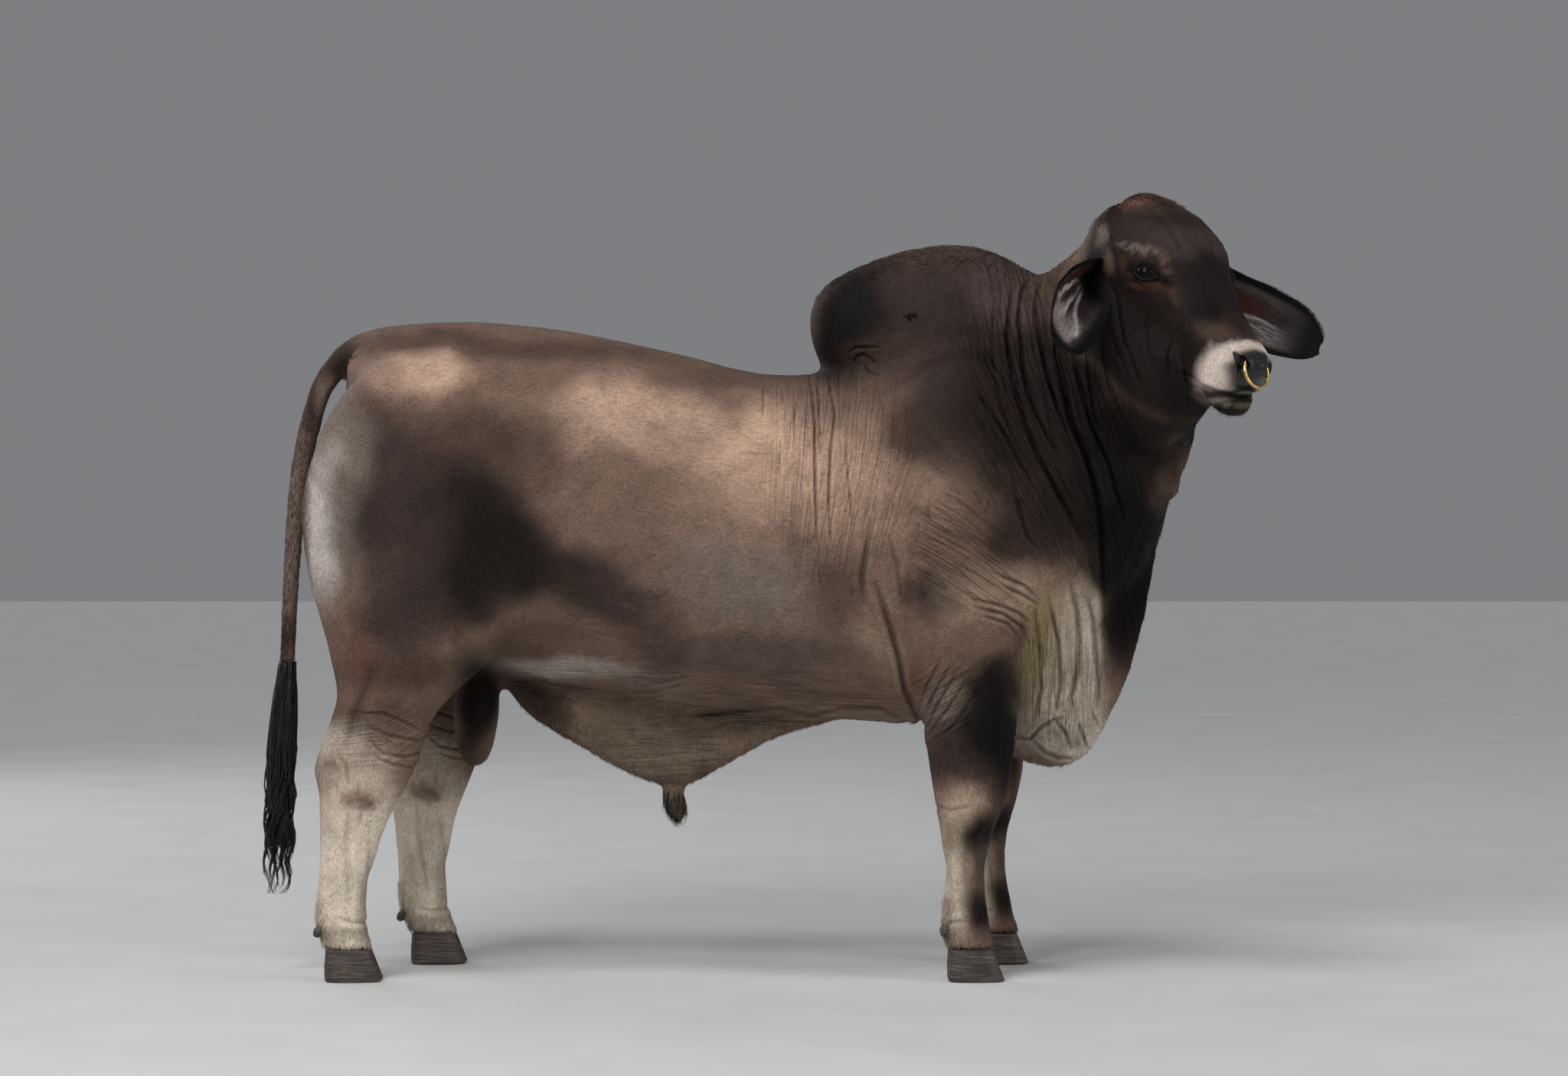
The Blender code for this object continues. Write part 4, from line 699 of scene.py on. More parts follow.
class Body:
    """Where the bull's head, legs and sides are, and where each place is in the photograph."""

    def __init__(self) -> None:
        """Finds how far the part was moved from its own table, from the place of its right eye."""
        self.head = self._head_matrix(POLL)
        low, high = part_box("right_eye")
        self.shift = (low + high) / 2 - self.head @ mirrored(EYE_PLACE, Side.RIGHT)
        self.head = self._head_matrix(POLL + self.shift)
        self.to_head = self.head.inverted()
        self.camera = CAMERA_PLACE + self.shift
        self.tilt = math.atan(HORIZON_DROP / FOCAL_PIXELS)

    @staticmethod
    def _head_matrix(poll: Vector) -> Matrix:
        """From the head's frame, u to the nose, v left and w out of the brow, to the world."""
        forward = Vector((
            math.cos(HEAD_YAW) * math.cos(HEAD_PITCH),
            math.sin(HEAD_YAW) * math.cos(HEAD_PITCH),
            -math.sin(HEAD_PITCH),
        ))
        left = Vector((-math.sin(HEAD_YAW), math.cos(HEAD_YAW), 0.0))
        matrix = Matrix((forward, left, forward.cross(left))).transposed().to_4x4()
        matrix.translation = poll
        return matrix

    def in_head(self, points: Array) -> Array:
        """Points in the head's frame."""
        return carried(points, self.to_head)

    def table(self, points: Array) -> Array:
        """Points in the part's own unshifted table."""
        return points - np.array(self.shift)

    def head_share(self, points: Array) -> Array:
        """1 on the head and 0 on the neck and body, with a soft border."""
        u, _, w = self.in_head(points).T
        share = fade(u + 0.577 * w, -0.06, 0.02) * fade(w, -0.30, -0.26)
        return share * fade(self.table(points)[:, 0], 0.55, 0.62)

    def neck_middle(self, x: Array, z: Array) -> Array:
        """How far to the side the middle of the neck and dewlap lies at a height."""
        side = np.interp(z, (0.60, 0.86, 0.96, 1.06, 1.165, 1.264, 1.318, 1.45, 1.70),
                         (0.0, -0.035, -0.055, -0.085, -0.15, -0.25, -0.35, -0.33, -0.22))
        return side * np.clip((x - 0.55) / 0.35, 0.0, 1.2)

    def step(self, x: Array, z: Array) -> Array:
        """How far ahead of the near leg the far leg stands at a height."""
        fore = x > -0.2
        top = np.where(fore, FORE_TOP, HIND_TOP)
        reach = np.where(fore, FORE_STEP, HIND_STEP)
        return reach * np.clip(1 - z / top, 0.0, 1.0) ** 0.6

    def pixels(self, points: Array) -> Array:
        """The photograph's pixel of each place, or of its twin on the near side."""
        x, y, z = self.table(points).T
        middle = self.neck_middle(x, z)
        legs = (1 - fade(z, 0.55, 0.75)) * (np.abs(y - middle) > 0.06)
        twin = np.stack([x - self.step(x, z) * legs * (y > middle), middle - np.abs(y - middle), z], 1)
        trunk = self._project(twin + np.array(self.shift))
        local = self.in_head(points)
        local[:, 1] = -np.abs(local[:, 1])
        face = self._project(carried(local, self.head))
        share = self.head_share(points)[:, None]
        return trunk * (1 - share) + face * share

    def _project(self, points: Array) -> Array:
        """The photograph's pixel of each place as the camera sees it."""
        away = points - np.array(self.camera)
        depth = away[:, 1] * math.cos(self.tilt) - away[:, 2] * math.sin(self.tilt)
        up = away[:, 1] * math.sin(self.tilt) + away[:, 2] * math.cos(self.tilt)
        scale = FOCAL_PIXELS / depth
        return np.stack([IMAGE_SIZE[0] / 2 + away[:, 0] * scale, IMAGE_SIZE[1] / 2 - up * scale], 1)

    def eye_frame(self, side: Side) -> Matrix:
        """The eye's frame: X along the opening, Y up it and Z out of the eye."""
        out = mirrored(EYE_OUT, side)
        along = (EYE_LEVEL - out * EYE_LEVEL.dot(out)).normalized()
        turn = Matrix((along, out.cross(along), out)).transposed().to_4x4()
        return self.head @ Matrix.Translation(mirrored(EYE_PLACE, side)) @ turn

    @staticmethod
    def almond(q: Array) -> Array:
        """How far each place, in the eye's frame, is outside the opening of the lids, in metres."""
        half_long, half_up, half_down = 0.0240, 0.0165, 0.0125
        flat = q / np.maximum(np.linalg.norm(q, axis=1), 1e-6)[:, None] * EYE_RADIUS
        lean = flat[:, 1] + 0.10 * flat[:, 0]
        a = np.abs(flat[:, 0]) / half_long
        b = np.abs(lean) / np.where(lean > 0, half_up, half_down)
        value = (a ** 1.7 + b ** 1.7) ** (1 / 1.7)
        reach = np.hypot(flat[:, 0], lean)
        return reach - reach / np.maximum(value, 1e-6) + 0.8 * np.maximum(0.0, -q[:, 2])

    def lid_gap(self, points: Array) -> Array:
        """How far each place is outside the nearest eye's opening, in metres, at most 0.1."""
        gap = np.full(len(points), 0.1)
        for side in Side:
            local = carried(points, self.eye_frame(side).inverted())
            near = np.nonzero((np.linalg.norm(local, axis=1) < 0.075) & (local[:, 2] > -0.005))[0]
            gap[near] = np.minimum(gap[near], self.almond(local[near]))
        return gap

    def furrows(self, pixels: Array) -> tuple:
        """How far furrows press each place in, with how near the next one is and how dark its painted shade
        is.

        Args:
            pixels: Each place's pixel.

        Returns:
            The depths in metres, and rows of the distance, in shares of six widths, and the darkness of the
            painted shade.
        """
        depth = np.zeros(len(pixels))
        lines = np.stack([np.ones(len(pixels)), np.zeros(len(pixels))], 1)
        for points, width, deep, shade in ALL_FOLDS:
            width = width * FOLD_WIDTH
            reach = width * 6.0
            low, high = points.min(0) - reach, points.max(0) + reach
            near = np.nonzero(np.all((pixels > low) & (pixels < high), axis=1))[0]
            if not len(near):
                continue
            spots = pixels[near]
            best = np.full(len(near), 1e9)
            share = np.zeros(len(near))
            lengths = np.linalg.norm(np.diff(points, axis=0), axis=1)
            starts = np.concatenate([[0.0], np.cumsum(lengths)])
            for i, length in enumerate(lengths):
                way = (points[i + 1] - points[i]) / length
                t = np.clip((spots - points[i]) @ way, 0.0, length)
                gap = np.linalg.norm(spots - points[i] - t[:, None] * way, axis=1)
                closer = gap < best
                best[closer] = gap[closer]
                share[closer] = (starts[i] + t[closer]) / starts[-1]
            taper = np.sqrt(np.maximum(0.0, np.sin(np.pi * np.clip(share, 0.02, 0.98)))) ** 0.8
            t = best / width
            roll = bell(t, 2.6, 1.5)
            depth[near] += deep * taper * (np.exp(-(t ** 2)) - 0.34 * roll)
            now = lines[near]
            # How dark the furrow's painted shade is here.
            darker = shade * taper * np.exp(-((t * 0.4) ** 2))
            more = darker > now[:, 1] * np.exp(-((now[:, 0] * 2.4) ** 2))
            now[more, 0] = np.minimum(t[more] / 6.0, 1.0)
            now[more, 1] = (shade * taper)[more]
            lines[near] = now
        return depth, lines

    def flow(self, pixels: Array) -> Array:
        """Each place's line and run among the fine wrinkles, and how strong they are there."""
        x, y = pixels.T
        best, second = np.zeros(len(pixels)), np.zeros(len(pixels))
        flow = np.zeros((len(pixels), 3))
        for spots, first, last, lines, upright, oval, strength in GRAINS:
            run, across = (y, x) if upright else (x, y)
            start, stop = np.interp(run, spots, first), np.interp(run, spots, last)
            share = strength * (1 - fade(np.sqrt(oval_distance(pixels, *oval)), 0.60, 1.15))
            more = share > best
            second = np.where(more, best, np.maximum(second, share))
            best = np.where(more, share, best)
            flow[more, 0] = ((across - start) / (stop - start) * lines)[more]
            flow[more, 1] = run[more] / 170.0
        flow[:, 2] = np.maximum(0.0, best - second - 0.06)
        return flow

    def swelling(self, pixels: Array) -> Array:
        """How far each place stands out over its muscles, in metres."""
        height = np.zeros(len(pixels))
        for x, y, rx, ry, rise, turn in FORMS:
            height += rise * np.exp(-oval_distance(pixels, x, y, rx, ry, math.radians(turn)))
        return height


def oval_distance(pixels: Array, x: float, y: float, rx: float, ry: float, turn: float) -> Array:
    """The square of how far each pixel is from an oval's middle, in radii."""
    dx, dy = pixels[:, 0] - x, pixels[:, 1] - y
    along = dx * math.cos(turn) + dy * math.sin(turn)
    across = dy * math.cos(turn) - dx * math.sin(turn)
    return (along / rx) ** 2 + (across / ry) ** 2


@dataclass
class Markings:
    """The bull's colours at any place of its hide."""

    body: Body
    soft_crease: float = 0.30

    def colours(self, points: Array) -> Array:
        """The colour of each point of the hide or coat, as linear light.

        Args:
            points: Places on the hide.

        Returns:
            One colour for each place.
        """
        pixels = self.body.pixels(points)
        x, y, z = self.body.table(points).T
        head = self.body.head_share(points)
        tail = fade(-x, 1.085, 1.115) * fade(z, 0.6, 0.8)
        tail = np.maximum(tail, fade(-x, 0.95, 1.03) * (np.abs(y) < 0.05) * fade(z, 1.36, 1.42))
        colours = np.tile(Tone.BROWN, (len(points), 1))
        for group, share in (
            (BODY_PATCHES, 1 - head),
            (NECK_PATCHES, (1 - head) * (1 - fade(-x, -0.10, -0.02))),
            (FORE_PATCHES, (1 - fade(z, 0.74, 0.80)) * (1 - fade(-x, -0.20, -0.12))
             * (1 - fade(x + 0.25 * np.maximum(0.0, z - 0.60), 0.54, 0.575)) * fade(np.abs(y), 0.085, 0.12)),
            (HIND_PATCHES, (1 - fade(z, 0.60, 0.68)) * fade(-x, 0.55, 0.62)),
            (HEAD_PATCHES, head),
        ):
            colours = self._lay(colours, pixels, group, share)
        middle = np.abs(y - self.body.neck_middle(x, z))
        # The front of the neck and dewlap: black coat, darkened further as painted shade where it faces away
        # from the light.
        front = (1 - head) * fade(x, 0.68, 0.80) * fade(z, 0.66, 0.80) * (1 - fade(middle, 0.05, 0.11))
        black_front_and_shade = 0.85 * front * (1 - 0.6 * fade(z, 1.06, 1.12) * fade(x, 0.80, 0.86))
        colours = mixed(colours, Tone.SOOT, black_front_and_shade)
        hind_tail = (1 - tail)[:, None]
        colours = colours * hind_tail + Tone.BROWN * (1 - hind_tail)
        colours = self._lay(colours, pixels, TAIL_PATCHES, tail)
        belly = (1 - fade(z, 0.60, 0.72)) * (1 - fade(np.abs(y), 0.10, 0.20)) * (x > -0.5) * (x < 0.3)
        colours = mixed(colours, Tone.BEIGE, 0.35 * belly)
        gap = self.body.lid_gap(points)
        colours = mixed(colours, Tone.RUST * 0.7, 0.15 * bell(gap, 0.008, 0.004))
        colours = mixed(colours, Tone.BLACK * 0.6, 1 - fade(gap, 0.0040, 0.0075))
        # Painted shade, with some dirt, darkens the colours along the furrows.
        return colours * (1 - self.soft_crease * self.creased(pixels, 2.4))[:, None]

    def creased(self, pixels: Array, width: float) -> Array:
        """How dark the painted shade of the furrows is at each place, for a line of a given narrowness."""
        _, lines = self.body.furrows(pixels)
        return lines[:, 1] * np.exp(-((lines[:, 0] * width) ** 2))

    @staticmethod
    def _wander(pixels: Array) -> Array:
        """A soft drift of the markings' borders, in shares of their size."""
        x, y = pixels.T
        drift_x = np.sin(x / 19 + 2.1 * np.sin(y / 27)) + 0.6 * np.sin(y / 11 + x / 31)
        drift_x = drift_x + 0.4 * np.sin(x / 6.1 - y / 8)
        drift_y = np.sin(y / 17 + 1.9 * np.sin(x / 23)) + 0.6 * np.sin(x / 12 - y / 29)
        drift_y = drift_y + 0.4 * np.sin(y / 5.7 + x / 9)
        slow_x = 2.6 * np.sin(x / 47 + 1.7 * np.sin(y / 39)) + 1.8 * np.sin(y / 31 + x / 83)
        slow_y = 2.6 * np.sin(y / 43 + 1.5 * np.sin(x / 51)) + 1.8 * np.sin(x / 29 - y / 71)
        return np.stack([drift_x + slow_x, drift_y + slow_y], 1)

    def _lay(self, colours: Array, pixels: Array, patches: tuple, share: Array) -> Array:
        """Lays soft ovals of colour over one another."""
        drift = self._wander(pixels)
        for x, y, rx, ry, colour, strength, turn in patches:
            reach = oval_distance(pixels + drift * min(0.08 * rx, 0.08 * ry, 5.0), x, y, rx, ry, turn)
            cover = strength * (1 - fade(np.sqrt(reach), 0.36, 1.28)) * share
            colours = mixed(colours, colour, cover)
        return colours


class Graph:
    """A material's node tree, built a node at a time."""

    def __init__(self, name: str) -> None:
        """Starts a material with its shader and object coordinates."""
        self.material = bpy.data.materials.new(name)
        self.material.use_nodes = True
        self.nodes = self.material.node_tree.nodes
        self.links = self.material.node_tree.links
        self.shader = self.nodes["Principled BSDF"]
        self.place = self.nodes.new("ShaderNodeTexCoord").outputs["Object"]

    def link(self, value: object, socket: Socket) -> None:
        """Links an output to a socket, or sets the socket's own value."""
        if isinstance(value, Socket):
            self.links.new(value, socket)
        elif isinstance(value, (tuple, list, np.ndarray)) and len(value) == 3 and socket.type == "RGBA":
            socket.default_value = (*[float(v) for v in value], 1.0)
        else:
            socket.default_value = value

    def node(self, kind: str, values: dict, **settings: object) -> bpy.types.ShaderNode:
        """A new node of a kind, with its inputs and settings."""
        node = self.nodes.new(f"ShaderNode{kind}")
        for name, setting in settings.items():
            setattr(node, name, setting)
        for name, value in values.items():
            self.link(value, node.inputs[name])
        return node

    def noise(self, scale: float, detail: float = 2.0, rough: float = 0.5, stretch: tuple = (1, 1, 1),
              bend: float = 0.0, place: object = None) -> Socket:
        """A noise pattern, as a grey value about one half."""
        if place is None:
            place = self.node("Mapping", {"Scale": stretch, "Vector": self.place}).outputs["Vector"]
        values = {"Scale": scale, "Detail": detail, "Roughness": rough, "Distortion": bend, "Vector": place}
        return self.node("TexNoise", values).outputs["Fac"]

    def cells(self, scale: float) -> Socket:
        """A pattern of cells, as the distance to the nearest cell's edge."""
        values = {"Scale": scale, "Vector": self.place}
        return self.node("TexVoronoi", values, feature="DISTANCE_TO_EDGE").outputs["Distance"]

    def math(self, operation: str, a: object, b: object = 0.0) -> Socket:
        """One sum of two values."""
        return self.node("Math", {0: a, 1: b}, operation=operation).outputs[0]

    def times(self, a: object, b: object) -> Socket:
        """Two values multiplied."""
        return self.math("MULTIPLY", a, b)

    def plus(self, a: object, b: object) -> Socket:
        """Two values added."""
        return self.math("ADD", a, b)

    def spread(self, value: object, low: float, high: float, to_low: float = 0.0,
               to_high: float = 1.0) -> Socket:
        """A value carried from one range to another, and held within it."""
        values = {"Value": value, "From Min": low, "From Max": high, "To Min": to_low, "To Max": to_high}
        return self.node("MapRange", values).outputs["Result"]

    def mix(self, share: object, a: object, b: object, kind: str = "RGBA") -> Socket:
        """Two colours mixed, or two values where the kind is FLOAT."""
        return self.node("Mix", {"Factor": share, "A": a, "B": b}, data_type=kind).outputs["Result"]

    def stored(self, name: str) -> bpy.types.ShaderNode:
        """The node that reads a stored attribute."""
        return self.node("Attribute", {}, attribute_name=name)

    def parts(self, name: str) -> list:
        """The three values of a stored colour."""
        colour = self.stored(name).outputs["Color"]
        return self.node("SeparateColor", {"Color": colour}).outputs

    def grade(self, value: object, stops: tuple) -> Socket:
        """A colour for each value, from stops of place and colour."""
        ramp = self.node("ValToRGB", {"Fac": value})
        elements = ramp.color_ramp.elements
        while len(elements) < len(stops):
            elements.new(0.5)
        for element, (spot, colour) in zip(elements, stops):
            element.position = spot
            element.color = (*[float(c) for c in colour], 1.0)
        return ramp.outputs["Color"]

    def bump(self, height: object, distance: float, strength: float = 1.0, normal: object = None) -> Socket:
        """A bump that follows a height, over another one if any."""
        values = {"Height": height, "Distance": distance, "Strength": strength}
        if normal is not None:
            values["Normal"] = normal
        return self.node("Bump", values).outputs["Normal"]

    def dress(self, **values: object) -> Material:
        """Sets the shader's sockets, by name with _ for a space, and returns the material."""
        for name, value in values.items():
            self.link(value, self.shader.inputs[name.replace("_", " ")])
        return self.material


@dataclass(frozen=True)
class Coat:
    """Short, sleek hair over skin, in the colours painted on the hide, with painted shade along its folds and
    wrinkles and a painted highlight on the rolls beside the folds.
    """

    mottle: float = 0.18
    streaks: float = 0.26
    grain: float = 0.22
    roughness: float = 0.62
    wet_roughness: float = 0.26
    hair_bump: float = 0.0011
    fold_bump: float = 0.0034
    skin_bump: float = 0.0028

    def material(self) -> Material:
        """Builds the coat's material."""
        g = Graph("coat")
        tones = g.stored("tone").outputs["Color"]
        upright, wet, wrinkled = g.parts("mask")
        along = g.noise(1.0, 3.0, 0.6, (75, 300, 420))
        down = g.noise(1.0, 3.0, 0.6, (380, 380, 80))
        hairs = g.mix(upright, along, down, "FLOAT")
        cloud = g.noise(16.0, 5.0, 0.6, bend=0.4)
        fleck = g.noise(260.0, 2.0, 0.7)
        shade = g.plus(g.spread(hairs, 0.28, 0.72, -self.streaks, self.streaks),
                       g.spread(cloud, 0.3, 0.7, -self.mottle, self.mottle))
        shade = g.plus(shade, g.spread(fleck, 0.3, 0.7, -self.grain, self.grain))
        shade = g.times(shade, g.spread(wet, 0.0, 1.0, 1.0, 0.25))
        crease, ridge, fine, soft = self._folds(g)
        # Painted shade darkens the colour along the creases and the fine wrinkles.
        lines = g.plus(g.times(crease, 0.86), g.plus(g.times(fine, 0.50), g.times(soft, 0.12)))
        bright = g.times(g.plus(shade, 1.0), g.spread(lines, 0.0, 1.0, 1.0, 0.06))
        # A painted highlight lightens the roll beside each crease.
        bright = g.times(bright, g.spread(ridge, 0.0, 1.0, 1.0, 1.5))
        colour = g.node("VectorMath", {0: tones, "Scale": bright}, operation="SCALE").outputs[0]
        pebbles = g.spread(g.cells(230.0), 0.0, 0.10)
        hide = g.noise(1.0, 3.0, 0.55, (46, 60, 34), 0.6)
        creased = g.times(hide, g.spread(wrinkled, 0.0, 1.0, 0.35, 1.1))
        rolls = g.plus(g.times(crease, 1.2), g.plus(g.times(fine, 0.5), soft))
        folded = g.bump(g.math("SUBTRACT", 2.0, rolls), self.fold_bump, 1.0)
        dry = g.bump(creased, self.skin_bump, 0.9, folded)
        lying = g.times(hairs, g.spread(wet, 0.0, 1.0, 1.0, 0.05))
        haired = g.bump(lying, self.hair_bump, 0.9, dry)
        normal = g.bump(g.times(pebbles, wet), 0.0007, 0.8, haired)
        rough = g.spread(cloud, 0.3, 0.7, self.roughness - 0.06, self.roughness + 0.08)
        rough = g.mix(wet, rough, self.wet_roughness, "FLOAT")
        return g.dress(Base_Color=colour, Roughness=rough, Normal=normal,
                       Specular_IOR_Level=g.spread(wet, 0.0, 1.0, 0.10, 0.50))

    @staticmethod
    def _folds(g: Graph) -> tuple:
        """The painted shade of the creases, the painted highlight of the rolls beside them, and the fine
        wrinkles as thin lines and soft rolls, which darken the colour as painted shade and also shape the
        bump.
        """
        near, dark, _ = g.parts("crease")
        line, along, strength = g.parts("flow")
        waver = g.spread(g.noise(42.0, 3.0, 0.6), 0.3, 0.7, -0.025, 0.025)
        core = g.spread(g.plus(near, waver), 0.0, 0.17, 1.0, 0.0)
        crease = g.times(g.math("POWER", core, 1.3), dark)
        # The roll beside each crease, for its painted highlight.
        ridge = g.times(g.spread(near, 0.17, 0.32), g.spread(near, 0.36, 0.62, 1.0, 0.0))
        ridge = g.times(ridge, dark)
        run = g.node("CombineXYZ", {"X": line, "Y": along}).outputs[0]
        fine, soft = 0.0, 0.0
        for scale, share in ((1.0, 1.0), (2.3, 0.55)):
            noise = g.noise(scale, 2.0, 0.5, bend=0.25, place=run)
            away = g.math("ABSOLUTE", g.math("SUBTRACT", noise, 0.5))
            fine = g.plus(fine, g.spread(away, 0.0, 0.030, share, 0.0))
            soft = g.plus(soft, g.spread(away, 0.0, 0.140, share, 0.0))
        return crease, ridge, g.times(fine, strength), g.times(soft, strength)


@dataclass(frozen=True)
class TuftHair:
    """The hair of the tufts, in the colours stored on each tuft."""

    roughness: float = 0.58

    def material(self) -> Material:
        """Builds the tufts' material."""
        g = Graph("tuft_hair")
        tones = g.stored("tone").outputs["Color"]
        fleck = g.noise(420.0, 2.0, 0.6)
        colour = g.mix(g.spread(fleck, 0.3, 0.7, 0.0, 0.25), tones, (0.0, 0.0, 0.0))
        rough = g.spread(fleck, 0.3, 0.7, self.roughness - 0.05, self.roughness + 0.08)
        return g.dress(Base_Color=colour, Roughness=rough, Specular_IOR_Level=0.20)


@dataclass(frozen=True)
class SwitchHair:
    """Long, glossy black hair."""

    roughness: float = 0.42

    def material(self) -> Material:
        """Builds the switch's material."""
        g = Graph("switch_hair")
        strands = g.noise(1.0, 3.0, 0.6, (420, 420, 26))
        colour = g.grade(strands, ((0.3, Tone.BLACK * 0.6), (0.55, Tone.BLACK * 1.3), (0.8, Tone.HUMP)))
        return g.dress(Base_Color=colour, Roughness=self.roughness, Specular_IOR_Level=0.5,
                       Normal=g.bump(strands, 0.0008, 0.7))


@dataclass(frozen=True)
class Horn:
    """Ringed dark horn, pale and worn at the edge."""

    roughness: float = 0.48

    def material(self) -> Material:
        """Builds the hooves' material."""
        g = Graph("horn")
        rings = g.noise(1.0, 3.0, 0.55, (14, 14, 240), 0.5)
        fibres = g.noise(1.0, 2.0, 0.5, (300, 300, 22))
        colour = g.grade(rings, (
            (0.25, tone(38, 33, 31)), (0.5, tone(66, 57, 52)), (0.75, tone(112, 98, 86)),
        ))
        colour = g.mix(g.spread(fibres, 0.35, 0.7, 0.0, 0.5), colour, tone(40, 34, 32))
        height = g.plus(rings, g.times(fibres, 0.4))
        return g.dress(Base_Color=colour, Roughness=g.spread(rings, 0.2, 0.8, self.roughness - 0.1, 0.62),
                       Normal=g.bump(height, 0.0012, 0.8), Specular_IOR_Level=0.5)


@dataclass(frozen=True)
class EyeBall:
    """A wet dark eye with a brown iris and a level pupil."""

    def material(self) -> Material:
        """Builds the eyes' material."""
        g = Graph("eye")
        rays = g.noise(1.0, 3.0, 0.6, (300, 300, 300))
        iris = g.grade(g.stored("iris").outputs["Fac"], (
            (0.00, tone(6, 6, 9)), (0.30, tone(8, 8, 11)), (0.36, tone(26, 17, 13)),
            (0.66, tone(20, 13, 10)), (0.74, tone(10, 8, 8)), (0.86, tone(24, 17, 15)),
            (1.00, tone(34, 25, 22)),
        ))
        colour = g.mix(g.spread(rays, 0.35, 0.7, 0.0, 0.35), iris, tone(20, 12, 9))
        return g.dress(Base_Color=colour, Roughness=0.12, Specular_IOR_Level=0.07)


@dataclass(frozen=True)
class Brass:
    """Polished brass with fine scratches."""

    def material(self) -> Material:
        """Builds the ring's material."""
        g = Graph("brass")
        wear = g.noise(220.0, 4.0, 0.6)
        scratch = g.noise(1.0, 3.0, 0.7, (900, 900, 160))
        colour = g.grade(wear, (
            (0.3, tone(176, 138, 78)), (0.55, tone(214, 180, 112)), (0.8, tone(232, 206, 150)),
        ))
        return g.dress(Base_Color=colour, Metallic=1.0, Roughness=g.spread(scratch, 0.3, 0.7, 0.16, 0.34),
                       Normal=g.bump(scratch, 0.0002, 0.4))


